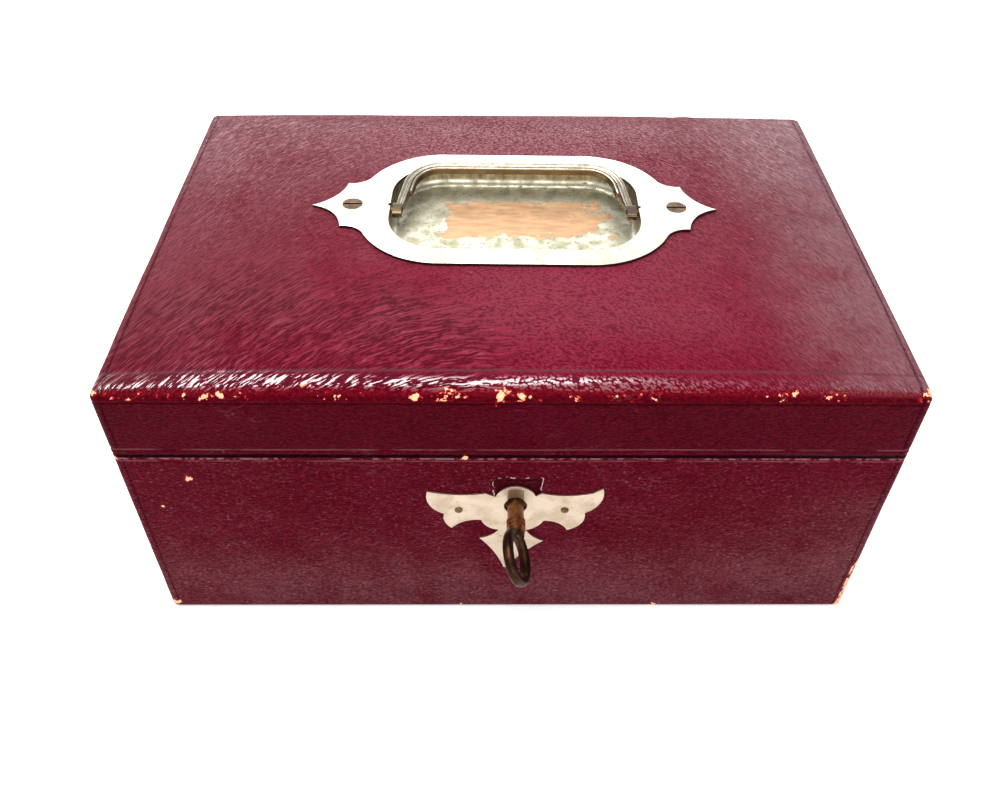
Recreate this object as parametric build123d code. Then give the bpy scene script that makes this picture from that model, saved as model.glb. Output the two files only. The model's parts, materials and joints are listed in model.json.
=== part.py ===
from build123d import *
import os
from math import cos, radians, tan

# An antique jewellery box, as it would come apart on a bench.
# A wooden carcass is covered with thin leather. The pillow-shaped lid swings on two brass butt
# hinges and carries a flush handle: a silvered plate, a pan and a folding bail. A box lock with
# a pipe key sits in the front board. A lined well and a lift-out tray are inside.
# Frame: origin in the middle of the underside, X to the right, Y to the back, Z up, millimetres.

# Overall sizes of the covered box
box_length = 280.0
box_depth = 192.0
rim_height = 93.0
seam_gap = 0.6
eave_height = 123.5
crown_rise = 8.5
crown_power = 3.5
corner_radius = 3.0
edge_roll = 4.5

# Leather and boards
leather = 0.9
turn_in = 12.0
board = 9.5
bottom_board = 6.0
panel_edge = 7.0
cover_thickness = 0.6
cover_inset = 2.0
lower_edge_round = 0.7

# Hinges at the back
hinge_spacing = 170.0
hinge_length = 36.0
hinge_setback = 3.0
barrel_radius = 2.6
hinge_pin_radius = 1.2
pin_clearance = 0.05
barrel_clearance = 0.3
leaf_width = 7.0
leaf_thickness = 1.3
knuckles = 5
knuckle_gap = 0.2
hinge_screw_spacing = 22.0
hinge_screw_setback = 5.0
bevel_angle = 49.0

# Key and keyhole, in the front
key_offset = 1.75
key_drop = 26.2
key_rest_turn = 27.0
shank_radius = 3.0
drill_radius = 1.15
bit_reach = 8.5
bit_thickness = 2.4
keyhole_radius = 4.25
bit_slot = 3.2
bit_slot_reach = 9.2
nozzle_window = 5.7
nozzle_reach = 9.2
nozzle_clearance = 0.1
nozzle_recess = 0.5
shank_front = 13.0
bow_length = 22.6
bow_height = 17.6
bow_bar = 3.6

# Lock let into the inside of the front board
lock_web = 2.0
lock_clearance = 0.1
cap_wall = 0.8
cap_half_width = 27.8
cap_below_key = 14.6
lock_plate_half_width = 36.0
lock_plate_below_key = 19.0
lock_plate_thickness = 1.2
selvage_thickness = 1.5
selvage_front = 0.9
bolt_thickness = 1.8
bolt_back_gap = 1.6
lever_thickness = 1.2
lever_width = 4.9
lever_front_gap = 0.3
bolt_throw = 5.0
lever_swing = 8.0
eye_spacing = 28.0
eye_thickness = 1.6
eye_width = 3.8
eye_drop = 9.7
eye_wall = 1.5
eye_hole_height = 3.5
finger_height = 2.4
finger_length = 4.8
link_half_width = 24.0
link_half_depth = 3.4
link_thickness = 1.2
stud_radius = 1.2
stud_reach = 14.0
lever_pivot_reach = 14.0
lever_pivot_height = 9.0

# Escutcheon on the front
escutcheon_thickness = 0.8
pin_head = 1.5
pin_head_height = 0.45
pin_shank = 0.6
pin_places = ((-21.0, -2.2), (18.3, -2.3))

# Flush handle in the lid
handle_x = 1.9
handle_y = 2.2
handle_turn = -0.7
plate_thickness = 1.2
plate_above_crown = 0.6
opening_half_width = 49.2
opening_half_depth = 29.7
opening_radius = 21.0
pan_depth = 8.5
pan_wall = 0.8
pan_floor_round = 3.5
pan_clearance = 0.3
bail_clearance = 0.7
bail_width = 5.4
bail_thickness = 2.8
bail_tilt = 10.0
bail_lean = 5.0
bail_bend = 13.4
bail_foot_width = 3.6
bail_foot_taper = 10.0
bail_pivot_depth = 2.8
bail_pin_radius = 1.2
bail_heel = 3.4
handle_screw_spacing = 128.4
handle_screw_head = 4.0
handle_screw_shank = 2.0
handle_screw_length = 13.0
handle_screw_head_height = 2.2

# Screws: all are countersunk, in holes with a little room
screw_clearance = 0.05
pilot_clearance = 0.2
hinge_screw = dict(head_radius=1.9, shank_radius_=1.0, length=8.0, head_height=1.2)
link_screw = dict(head_radius=1.8, shank_radius_=0.9, length=8.0, head_height=1.1)
lock_screw = dict(head_radius=2.2, shank_radius_=1.1, length=6.5, head_height=1.2)
plate_screw = dict(
    head_radius=handle_screw_head, shank_radius_=handle_screw_shank, length=handle_screw_length,
    head_height=handle_screw_head_height)

# Linings and tray
lining = 2.0
lip_rise = 3.0
lip_relief = 0.6
lid_lining = 1.6
lid_lining_gap = 1.4
floor_pad_thickness = 5.5
lid_pad_thickness = 7.0
pad_clearance = 0.4
button_radius = 3.5
button_height = 1.8
button_pitch_x = 64.4
button_pitch_y = 42.2
tuft_depth = 4.0
tuft_spread = 6.0
tray_seat_height = 60.5
bearer_width = 4.0
bearer_height = 6.0
bearer_end_gap = 14.0
tray_height = 28.0
tray_clearance = 0.6
tray_rail = 5.0
tray_floor = 2.5
divider = 4.0
divider_drop = 4.5
long_divider_y = 16.0
ring_bay_width = 96.0
ring_rolls = 6
ring_roll_gap = 0.8
tray_pad_thickness = 4.0
tab_width = 14.0
tab_thickness = 1.2
tab_rise = 4.5
tab_depth = 18.0

# Places that follow from the sizes
half_length = box_length / 2
half_depth = box_depth / 2
core_x = half_length - leather
core_y = half_depth - leather
room_x = core_x - board
room_y = core_y - board
core_bottom = cover_thickness + leather
floor_top = core_bottom + bottom_board
base_core_top = rim_height - leather
lid_bottom = rim_height + seam_gap
lid_core_bottom = lid_bottom + leather
panel_bottom = eave_height - leather - panel_edge
crown_height = eave_height + crown_rise
hinge_y = half_depth - hinge_setback
hinge_z = rim_height + seam_gap / 2
key_x = key_offset
key_z = rim_height - key_drop
lever_pivot_x = key_x + lever_pivot_reach
lever_pivot_z = key_z + lever_pivot_height
plate_top = crown_height + plate_above_crown
plate_bottom = plate_top - plate_thickness
pan_floor = plate_top - pan_depth
bail_z = plate_top - bail_pivot_depth
lock_front = -core_y + lock_web + lock_clearance
plate_face = -room_y - lock_plate_thickness
bolt_back = plate_face - bolt_back_gap
bolt_front = bolt_back - bolt_thickness
lever_front = lock_front + cap_wall + lever_front_gap
selvage_bottom = rim_height - selvage_thickness
eye_y = (bolt_front + bolt_back) / 2


def block(x0, x1, y0, y1, z0, z1):
    """A plain block between six planes."""
    return Pos((x0 + x1) / 2, (y0 + y1) / 2, (z0 + z1) / 2) * Box(x1 - x0, y1 - y0, z1 - z0)


def slab(outline, z0, z1):
    """A flat outline carried from one height to another."""
    return extrude(Plane.XY.offset(z0) * outline, amount=z1 - z0)


def upright(outline, y_front, y_back):
    """An outline drawn as seen from the front, X right and Z up, given its thickness along Y."""
    face = Plane(origin=(0, y_back, 0), x_dir=(1, 0, 0), z_dir=(0, -1, 0)) * outline
    return extrude(face, amount=y_back - y_front)


def rod_x(radius, x0, x1, y, z):
    """A round bar along X."""
    return Pos((x0 + x1) / 2, y, z) * Rot(0, 90, 0) * Cylinder(radius, x1 - x0)


def rod_y(radius, y0, y1, x, z):
    """A round bar along Y."""
    return Pos(x, (y0 + y1) / 2, z) * Rot(90, 0, 0) * Cylinder(radius, y1 - y0)


def rod_z(radius, z0, z1, x, y):
    """A round bar along Z."""
    return Pos(x, y, (z0 + z1) / 2) * Cylinder(radius, z1 - z0)


def chain(start, steps):
    """A closed outline from a start point and steps, each an end point with an arc's middle or None."""
    edges = []
    here = start
    for middle, end in steps:
        if middle is None:
            edges.append(Line(here, end))
        else:
            edges.append(ThreePointArc(here, middle, end))
        here = end
    return make_face(Curve() + edges)


def wood_screw(head_radius, shank_radius_, length, head_height):
    """A countersunk screw, point down, with its slotted head level with Z = 0."""
    head = Pos(0, 0, -head_height / 2) * Cone(shank_radius_, head_radius, head_height)
    shank = rod_z(shank_radius_, -length, -head_height / 2, 0, 0)
    slot_depth = head_height * 0.35
    slot = block(-head_radius, head_radius, -head_radius * 0.12, head_radius * 0.12, -slot_depth, 1)
    return head + shank - slot


def screw_hole(head_radius, shank_radius_, length, head_height, clearance):
    """The countersink and the hole that a screw of these sizes needs, with a clearance."""
    head = Pos(0, 0, -head_height / 2) * Cone(
        shank_radius_ + clearance, head_radius + clearance, head_height)
    above = rod_z(head_radius + clearance, 0, 1, 0, 0)
    shank = rod_z(shank_radius_ + clearance, -length - clearance, 0, 0, 0)
    return head + above + shank


def crowned_block(half_x, half_y, radius, bottom, edge, rise, roll):
    """A block with rounded corners whose top swells like a pillow and rolls over at its edges."""
    steps = 24
    overshoot = 1.02
    span = [(2 * i / steps - 1) * overshoot for i in range(steps + 1)]
    grid = [
        [
            Vector(
                u * half_x,
                v * half_y,
                edge + rise * (1 - abs(u) ** crown_power) * (1 - abs(v) ** crown_power),
            )
            for v in span
        ]
        for u in span
    ]
    crown = Face.make_surface_from_array_of_points(grid, tol=0.01, min_deg=3, max_deg=3)
    below = Solid.extrude(crown, Vector(0, 0, 2 * (bottom - edge) - rise))
    tall = slab(RectangleRounded(2 * half_x, 2 * half_y, radius), bottom, edge + 2 * rise)
    body = (tall & below).solids()[0]
    upper = [e for e in body.edges() if e.bounding_box().min.Z > edge - 0.4 * (edge - bottom)]
    return body.fillet(roll, upper)


def bevel_cut(side, cover):
    """What is cut from the back edges so that the lid can lean back: side 1 base, side -1 lid."""
    slope = tan(radians(bevel_angle))
    drop = cover / cos(radians(bevel_angle))
    near = hinge_y - 5
    far = hinge_y + 10
    points = [
        (near, side * (5 * slope - drop)),
        (far, side * (-10 * slope - drop)),
        (far, side * 20),
        (near, side * 20),
    ]
    outline = make_face(Polyline([(0, y, hinge_z + z) for y, z in points], close=True))
    return extrude(outline, amount=half_length + 5, dir=(1, 0, 0), both=True)


def hinge_middles():
    return [-hinge_spacing / 2, hinge_spacing / 2]


def barrel_room():
    """The rounded trough that the hinge barrels need in both back edges."""
    reach = hinge_length / 2 + barrel_clearance
    radius = barrel_radius + barrel_clearance
    return [rod_x(radius, x - reach, x + reach, hinge_y, hinge_z) for x in hinge_middles()]


def leaf_room(z0, z1):
    """The recesses for the hinge leaves in a back edge."""
    reach = hinge_length / 2
    return [block(x - reach, x + reach, hinge_y - leaf_width, hinge_y, z0, z1) for x in hinge_middles()]


def hinge_screw_places():
    return [
        (x + s * hinge_screw_spacing / 2, hinge_y - hinge_screw_setback)
        for x in hinge_middles()
        for s in (-1, 1)
    ]


# Lock, drawn about the axis of the keyhole
def keyhole(radius, slot, reach):
    """A round hole with a slot below it for the bit."""
    hole = Circle(radius) + Pos(0, -reach / 2) * Rectangle(slot, reach)
    return Pos(key_x, key_z) * hole


def nozzle(gap):
    """The outline above the keyhole that the lock's nozzle fills, drawn in by a gap."""
    width = nozzle_window - 2 * gap
    height = nozzle_reach - gap
    body = Pos(0, height / 2) * Rectangle(width, height)
    top = body.vertices().group_by(Axis.Y)[-1]
    return Pos(key_x, key_z) * fillet(top, 1.2)


def front_keyhole():
    """The whole opening in the escutcheon, the leather and the front board."""
    return keyhole(keyhole_radius, bit_slot, bit_slot_reach) + nozzle(0)


def lock_pocket():
    """What the lock takes out of the front board and the leather on its rim."""
    gap = lock_clearance
    reach = lock_plate_half_width + gap
    cap = block(
        key_x - cap_half_width - gap, key_x + cap_half_width + gap, lock_front - gap, -room_y + 1,
        key_z - cap_below_key - gap, rim_height + 1)
    plate = block(
        key_x - reach, key_x + reach, plate_face - gap, -room_y + 1,
        key_z - lock_plate_below_key - gap, rim_height + 1)
    selvage = block(
        key_x - reach, key_x + reach, -core_y + selvage_front - gap, -room_y + 1,
        selvage_bottom - gap, rim_height + 1)
    return cap + plate + selvage


def lock_screw_places():
    inset = 4.0
    low = key_z - lock_plate_below_key + inset
    high = selvage_bottom - 2 * inset
    reach = lock_plate_half_width - inset
    return [(key_x + s * reach, z) for s in (-1, 1) for z in (low, high)]


def lock_screw_frame(x, z):
    """A place on the inner face of the front board, pointing a screw towards the front."""
    return Pos(x, -room_y, z) * Rot(-90, 0, 0)


def eye_middles():
    return [key_x - eye_spacing / 2, key_x + eye_spacing / 2]


def make_lock_cap():
    x0, x1 = key_x - cap_half_width, key_x + cap_half_width
    bottom = key_z - cap_below_key
    shell = block(x0, x1, lock_front, plate_face, bottom, selvage_bottom)
    inside = block(
        x0 + cap_wall, x1 - cap_wall, lock_front + cap_wall, plate_face + 1, bottom + cap_wall,
        selvage_bottom + 1)
    front = -half_depth - escutcheon_thickness + nozzle_recess
    shell = shell - inside + upright(nozzle(nozzle_clearance), front, lock_front + cap_wall / 2)
    shell -= upright(keyhole(keyhole_radius, bit_slot, bit_slot_reach), front - 1, lock_front)
    return shell - upright(keyhole(shank_radius + 0.4, bit_slot, bit_slot_reach),
                           lock_front - 1, lock_front + cap_wall + 1)


def make_lock_plate():
    x0, x1 = key_x - lock_plate_half_width, key_x + lock_plate_half_width
    plate = block(x0, x1, plate_face, -room_y, key_z - lock_plate_below_key, rim_height)
    selvage = block(x0, x1, -core_y + selvage_front, -room_y, selvage_bottom, rim_height)
    body = plate + selvage
    half_x = eye_thickness / 2 + 0.5
    half_y = eye_width / 2 + 0.6
    for x in eye_middles():
        body -= block(x - half_x, x + half_x, eye_y - half_y, min(eye_y + half_y, plate_face),
                      selvage_bottom - 1, rim_height + 1)
    for s in (-1, 1):
        body += rod_y(stud_radius, bolt_front - 0.2, plate_face, key_x + s * stud_reach, key_z)
    body += rod_y(stud_radius, lever_front, plate_face, lever_pivot_x, lever_pivot_z)
    for x, z in lock_screw_places():
        body -= lock_screw_frame(x, z) * screw_hole(**lock_screw, clearance=screw_clearance)
    return body


def make_bolt():
    """The sliding bolt plate, with its window round the key and two fingers for the eyes."""
    foot = 12.5
    head = 7.5
    arm = 3.5
    tip = eye_thickness / 2 + 1.6
    left = eye_spacing / 2 + tip + finger_length + arm
    right = stud_reach + bolt_throw
    finger_top = lid_bottom - eye_drop + eye_wall + (eye_hole_height + finger_height) / 2 - key_z
    plate = Pos((right - left) / 2, (head - foot) / 2) * Rectangle(right + left, head + foot)
    for x in (-eye_spacing / 2, eye_spacing / 2):
        root = x - tip - finger_length
        plate += Pos(root - arm / 2, (finger_top + head - 1) / 2) * Rectangle(
            arm, finger_top - head + 1)
        plate += Pos(root + finger_length / 2 - 0.5, finger_top - finger_height / 2) * Rectangle(
            finger_length + 1, finger_height)
    window_right = 4.9
    window_left = shank_radius + bolt_throw + 0.6
    window_head = shank_radius + 0.8
    window_foot = bit_reach + 0.9
    plate -= Pos((window_right - window_left) / 2, (window_head - window_foot) / 2) * Rectangle(
        window_left + window_right, window_head + window_foot)
    for s in (-1, 1):
        slot_width = 2 * stud_radius + 0.6
        plate -= Pos(s * stud_reach - bolt_throw / 2, 0) * SlotCenterToCenter(bolt_throw, slot_width)
    at_rest = bolt_throw * key_rest_turn / 90
    return upright(Pos(key_x + at_rest, key_z) * plate, bolt_front, bolt_back)


def lever_place():
    """The lever's pivot, upside down and turned to where the key holds it at rest."""
    turn = 180 - lever_swing * key_rest_turn / 90
    return Pos(lever_pivot_x, 0, lever_pivot_z) * Rot(0, turn, 0)


def make_lever():
    """A flat lever that hangs beside the bit, drawn standing on its pivot."""
    edge = lever_edge()
    outline = chain(
        (edge, 5.0),
        [
            (None, (edge, 18.0)),
            ((edge - 2.2, 20.4), (edge - lever_width, 18.0)),
            (None, (-1.0, 7.0)),
            (None, (-3.2, 0.0)),
            ((0.0, -3.2), (3.2, 0.0)),
            (None, (edge, 5.0)),
        ],
    )
    outline -= Circle(stud_radius + pin_clearance)
    return lever_place() * upright(outline, lever_front, lever_front + lever_thickness)


def lever_edge():
    """How far the lever's working edge stands from the line through its pivot."""
    return lever_pivot_x - key_x - bit_reach + 0.9


def make_lever_spring():
    """A leaf spring riveted to the lever, which presses on the side of the cap."""
    strip = 0.4
    root = lever_edge() - lever_width
    outline = chain(
        (root - 0.05, 18.0),
        [
            (None, (root - 0.6, 15.6)),
            ((root - 3.6, 18.7), (root - 8.2, 20.0 - strip)),
            (None, (root - 8.2, 20.0)),
            ((root - 3.4, 19.5), (root - 0.05, 18.0)),
        ],
    )
    return lever_place() * upright(outline, lever_front + 0.1, lever_front + lever_thickness - 0.1)


def make_key():
    """A pipe key with its bit down, then turned to where it rests."""
    back = plate_face - 0.3
    front = -half_depth - shank_front
    bow_y = front + 0.6 - bow_length / 2
    shank = rod_y(shank_radius, front - 1.5, back, 0, 0)
    for i in range(3):
        ring_y = front + 1.0 + 1.7 * i
        shank += rod_y(shank_radius + 0.45, ring_y, ring_y + 0.9, 0, 0)
    bit_front = lever_front + 0.05
    bit = block(-bit_thickness / 2, bit_thickness / 2, bit_front, back - 0.1, -bit_reach, 0)
    bit -= block(-bit_thickness, bit_thickness, bit_front + 1.5, bit_front + 2.1, -bit_reach - 1, -5.6)
    bow = extrude(
        Plane.YZ * (Ellipse(bow_length / 2, bow_height / 2)
                    - Ellipse(bow_length / 2 - bow_bar, bow_height / 2 - bow_bar)),
        amount=bow_bar / 2, both=True)
    bow = fillet(bow.edges(), bow_bar * 0.42)
    body = shank + bit + Pos(0, bow_y, 0) * bow
    body -= rod_y(drill_radius + pin_clearance, lock_front - 2.5, back + 1, 0, 0)
    return Pos(key_x, 0, key_z) * Rot(0, -key_rest_turn, 0) * body


def link_room(z0):
    """The recess for the link plate in the lid's front rail, from a height up."""
    return block(key_x - link_half_width, key_x + link_half_width, eye_y - link_half_depth,
                 eye_y + link_half_depth, z0, lid_bottom + link_thickness)


def make_link_plate():
    """The plate under the lid's front rail, with two eyes that drop into the lock."""
    body = link_room(lid_bottom)
    for x in eye_middles():
        bottom = lid_bottom - eye_drop
        eye = block(x - eye_thickness / 2, x + eye_thickness / 2, eye_y - eye_width / 2,
                    eye_y + eye_width / 2, bottom, lid_bottom + link_thickness)
        eye = fillet(eye.edges().filter_by(Axis.X).group_by(Axis.Z)[0], 0.9)
        body += eye
        body -= block(x - eye_thickness, x + eye_thickness, eye_y - bolt_thickness / 2 - 0.25,
                      eye_y + bolt_thickness / 2 + 0.25, bottom + eye_wall,
                      bottom + eye_wall + eye_hole_height)
    for x in link_screw_places():
        body -= Pos(x, eye_y, lid_bottom) * Rot(180, 0, 0) * screw_hole(
            **link_screw, clearance=screw_clearance)
    return body


def link_screw_places():
    inset = 3.6
    return [key_x - link_half_width + inset, key_x, key_x + link_half_width - inset]


def make_escutcheon():
    """The hand-cut keyhole plate, drawn about the keyhole: two wings, a lobe and a tail."""
    outline = chain(
        (-32.3, 8.0),
        [
            ((-22.5, 6.2), (-10.8, 6.9)),
            (None, (-7.4, 5.0)),
            ((-0.1, 10.7), (7.3, 5.4)),
            (None, (9.5, 7.0)),
            ((19.0, 5.6), (28.1, 7.0)),
            (None, (31.7, 9.6)),
            ((31.0, 1.2), (25.9, -4.1)),
            ((25.2, -9.8), (19.7, -14.2)),
            ((16.4, -10.2), (10.7, -8.7)),
            ((8.1, -12.3), (4.2, -14.3)),
            ((6.9, -18.3), (11.0, -21.1)),
            ((3.2, -28.9), (-2.8, -38.4)),
            (None, (-4.1, -37.9)),
            ((-7.3, -29.0), (-13.4, -19.3)),
            ((-9.0, -17.3), (-6.1, -14.1)),
            ((-10.2, -12.3), (-12.7, -8.2)),
            ((-19.0, -9.1), (-23.8, -13.0)),
            ((-26.4, -9.2), (-26.5, -4.6)),
            ((-31.0, -0.8), (-32.3, 8.0)),
        ],
    )
    outline = Pos(key_x, key_z) * outline
    body = upright(outline - front_keyhole(), -half_depth - escutcheon_thickness, -half_depth)
    for x, z in escutcheon_pin_places():
        body -= rod_y(pin_shank + screw_clearance, -half_depth - 2, -half_depth + 1, x, z)
    return body


def escutcheon_pin_places():
    return [(key_x + x, key_z + z) for x, z in pin_places]


def make_escutcheon_pins():
    pins = []
    for x, z in escutcheon_pin_places():
        face = -half_depth - escutcheon_thickness
        head = rod_y(pin_head, face - pin_head_height, face, x, z)
        head = fillet(head.edges().group_by(Axis.Y)[0], pin_head_height * 0.9)
        pins.append(head + rod_y(pin_shank, face, lock_front - 0.4, x, z))
    return pins


# Flush handle, drawn about the middle of its plate
def handle_place():
    return Pos(handle_x, handle_y, 0) * Rot(0, 0, handle_turn)


def opening_outline(grow):
    return RectangleRounded(
        2 * (opening_half_width + grow), 2 * (opening_half_depth + grow), opening_radius + grow)


def plate_outline():
    """Pointed ends, a bite and a shoulder at each corner, and straight long sides."""
    right = (
        ThreePointArc((80.3, 0), (71.2, 6.5), (67.6, 15.3))
        + ThreePointArc((67.6, 15.3), (63.0, 15.9), (58.6, 19.4))
        + ThreePointArc((58.6, 19.4), (47.1, 33.2), (30.0, 39.0))
        + Line((30.0, 39.0), (0, 39.0))
    )
    upper = right + mirror(right, Plane.YZ)
    return make_face(upper + mirror(upper, Plane.XZ))


def handle_screw_places():
    return [-handle_screw_spacing / 2, handle_screw_spacing / 2]


def make_handle_plate():
    notch = 0.9
    body = slab(plate_outline() - opening_outline(0), plate_bottom, plate_top)
    for s in (-1, 1):
        x = s * opening_half_width
        body -= rod_z(notch, plate_bottom - 1, plate_top + 1, x, 0)
    for x in handle_screw_places():
        body -= Pos(x, 0, plate_top) * screw_hole(**plate_screw, clearance=screw_clearance)
    return handle_place() * body


def boss_blocks(grow):
    """The two blocks soldered to the ends of the pan, which hold the bail's pins."""
    out = 5.0
    half = 3.2 + grow
    blocks = []
    for s in (-1, 1):
        near = s * (opening_half_width + pan_wall / 2)
        far = s * (opening_half_width + pan_wall + out + grow)
        blocks.append(block(min(near, far), max(near, far), -half, half,
                            bail_z - bail_pin_radius - 1.6 - grow, plate_bottom))
    return blocks


def make_handle_pan():
    outer = slab(opening_outline(pan_wall), pan_floor - pan_wall, plate_bottom)
    outer = fillet(outer.faces().sort_by(Axis.Z)[0].edges(), pan_floor_round + pan_wall)
    inner = slab(opening_outline(0), pan_floor, plate_bottom + 1)
    inner = fillet(inner.faces().sort_by(Axis.Z)[0].edges(), pan_floor_round)
    body = outer + boss_blocks(0) - inner
    for s in (-1, 1):
        x = s * (opening_half_width + 1)
        body -= rod_x(bail_pin_radius + pin_clearance, x - 4, x + 4, 0, bail_z)
    return handle_place() * body


def pan_room():
    """The pocket in the lid for the pan and its two blocks."""
    pocket = slab(opening_outline(pan_wall + pan_clearance), pan_floor - pan_wall - pan_clearance,
                  plate_top + 1)
    for piece in boss_blocks(pan_clearance):
        pocket += piece
    return handle_place() * pocket


def make_bail():
    """The folding bail: a reeded bar with arms that lean inwards and narrow feet on its pins."""
    reach_x = opening_half_width - bail_clearance - bail_width / 2
    reach_y = opening_half_depth - bail_clearance - bail_width / 2
    shoulder = reach_x - bail_lean
    path = FilletPolyline((reach_x, 0), (shoulder, reach_y), (-shoulder, reach_y), (-reach_x, 0),
                          radius=bail_bend)
    w, t = bail_width / 2, bail_thickness / 2
    section = chain(
        (-w, -t),
        [
            (None, (w * 0.55, -t)),
            ((w, -t * 0.3), (w * 0.55, t * 0.45)),
            ((w * 0.25, t * 0.25), (0, t * 0.55)),
            ((-w * 0.2, t * 0.95), (-w * 0.45, t * 0.6)),
            ((-w * 0.72, t), (-w, t * 0.35)),
            (None, (-w, -t)),
        ],
    )
    start = Plane(origin=(reach_x, 0, 0), x_dir=(reach_y, bail_lean, 0), z_dir=(-bail_lean, reach_y, 0))
    body = sweep(start * mirror(section, Plane.XZ), path=path)
    foot = opening_half_width - bail_clearance
    for s in (-1, 1):
        heel = block(s * reach_x - w, s * reach_x + w, -bail_heel, bail_heel, -t, t)
        body += fillet(heel.edges().filter_by(Axis.X), t * 0.8)
        taper = Polyline(
            (s * (foot - bail_width - 2), bail_foot_taper), (s * (foot - bail_width - 1), bail_foot_taper),
            (s * (foot - bail_foot_width), 0), (s * (foot - bail_foot_width), -bail_heel - 1),
            (s * (foot - bail_width - 2), -bail_heel - 1), close=True)
        body -= slab(make_face(taper), -bail_thickness, bail_thickness)
        body -= rod_x(bail_pin_radius + pin_clearance, s * reach_x - w - 1, s * reach_x + w + 1, 0, 0)
    return handle_place() * Pos(0, 0, bail_z) * Rot(bail_tilt, 0, 0) * body


def make_bail_pins():
    inner = opening_half_width - bail_clearance - bail_foot_width + 0.3
    outer = opening_half_width + pan_wall + 3.0
    return [handle_place() * rod_x(bail_pin_radius, min(s * inner, s * outer),
                                   max(s * inner, s * outer), 0, bail_z) for s in (-1, 1)]


def make_handle_screws():
    return [handle_place() * Pos(x, 0, plate_top) * wood_screw(**plate_screw)
            for x in handle_screw_places()]


# Carcass and leather
def base_core():
    outline = RectangleRounded(2 * core_x, 2 * core_y, corner_radius - leather)
    return slab(outline, core_bottom, base_core_top) - bevel_cut(1, leather)


def lid_core():
    core = crowned_block(core_x, core_y, corner_radius - leather, lid_core_bottom,
                         eave_height - leather, crown_rise, edge_roll - leather)
    return core - bevel_cut(-1, leather)


def wall_blocks(x, y, thickness, z0, z1):
    """Front and back walls of full length, and left and right walls between them."""
    return {
        "front": block(-x, x, -y, -y + thickness, z0, z1),
        "back": block(-x, x, y - thickness, y, z0, z1),
        "left": block(-x, -x + thickness, -y + thickness, y - thickness, z0, z1),
        "right": block(x - thickness, x, -y + thickness, y - thickness, z0, z1),
    }


def make_base_boards():
    core = base_core()
    walls = wall_blocks(core_x, core_y, board, floor_top, base_core_top)
    boards = {f"base_{side}_board": core & wall for side, wall in walls.items()}
    boards["base_front_board"] -= lock_pocket()
    boards["base_front_board"] -= upright(front_keyhole(), -half_depth, lock_front + 1)
    for x, z in lock_screw_places():
        boards["base_front_board"] -= lock_screw_frame(x, z) * screw_hole(
            **lock_screw, clearance=screw_clearance)
    for x, z in escutcheon_pin_places():
        boards["base_front_board"] -= rod_y(
            pin_shank + screw_clearance, -half_depth, lock_front - 0.3, x, z)
    for room in barrel_room() + leaf_room(rim_height - leaf_thickness, rim_height):
        boards["base_back_board"] -= room
    for x, y in hinge_screw_places():
        boards["base_back_board"] -= Pos(x, y, rim_height) * screw_hole(
            **hinge_screw, clearance=screw_clearance)
    boards["base_bottom_board"] = core & block(-core_x, core_x, -core_y, core_y, core_bottom, floor_top)
    return boards


def make_base_leather():
    outer = slab(RectangleRounded(box_length, box_depth, corner_radius), cover_thickness, rim_height)
    outer = fillet(outer.faces().sort_by(Axis.Z)[0].edges(), lower_edge_round)
    body = outer - bevel_cut(1, 0) - base_core()
    body -= block(-room_x, room_x, -room_y, room_y, base_core_top - 1, rim_height + 1)
    under_x, under_y = core_x - turn_in, core_y - turn_in
    body -= block(-under_x, under_x, -under_y, under_y, -1, core_bottom + 1)
    for room in barrel_room() + leaf_room(rim_height - leaf_thickness, rim_height + 1):
        body -= room
    body -= lock_pocket()
    body -= upright(front_keyhole(), -half_depth - 1, -core_y + 1)
    for x, z in escutcheon_pin_places():
        body -= rod_y(pin_shank + screw_clearance, -half_depth - 1, -core_y + 1, x, z)
    return body


def make_bottom_cover():
    outline = RectangleRounded(box_length - 2 * cover_inset, box_depth - 2 * cover_inset, corner_radius)
    sheet = slab(outline, 0, cover_thickness)
    under_x, under_y = core_x - turn_in, core_y - turn_in
    return sheet + block(-under_x, under_x, -under_y, under_y, 0, core_bottom)


def make_lid_woodwork():
    core = lid_core()
    walls = wall_blocks(core_x, core_y, board, lid_core_bottom, panel_bottom)
    rails = {f"lid_{side}_rail": core & wall for side, wall in walls.items()}
    rails["lid_front_rail"] -= link_room(lid_bottom)
    for x in link_screw_places():
        rails["lid_front_rail"] -= Pos(x, eye_y, lid_bottom) * Rot(180, 0, 0) * screw_hole(
            **link_screw, clearance=screw_clearance)
    for room in barrel_room() + leaf_room(lid_bottom, lid_bottom + leaf_thickness):
        rails["lid_back_rail"] -= room
    for x, y in hinge_screw_places():
        rails["lid_back_rail"] -= Pos(x, y, lid_bottom) * Rot(180, 0, 0) * screw_hole(
            **hinge_screw, clearance=screw_clearance)
    panel = core & block(-core_x, core_x, -core_y, core_y, panel_bottom, crown_height)
    panel -= pan_room()
    for x in handle_screw_places():
        panel -= handle_place() * rod_z(
            plate_screw["shank_radius_"] + pilot_clearance, plate_top - handle_screw_length - 0.1,
            plate_top, x, 0)
    rails["lid_top_panel"] = panel
    return rails


def make_lid_leather():
    outer = crowned_block(half_length, half_depth, corner_radius, lid_bottom, eave_height,
                          crown_rise, edge_roll)
    body = outer - bevel_cut(-1, 0) - lid_core()
    body -= block(-room_x, room_x, -room_y, room_y, lid_bottom - 1, lid_core_bottom + 1)
    for room in barrel_room() + leaf_room(lid_bottom - 1, lid_bottom + leaf_thickness):
        body -= room
    body -= link_room(lid_bottom - 1)
    body -= handle_place() * slab(plate_outline(), plate_bottom, plate_top + 1)
    body -= pan_room()
    for x in handle_screw_places():
        body -= handle_place() * Pos(x, 0, plate_top) * screw_hole(
            **plate_screw, clearance=screw_clearance)
    return body


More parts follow.
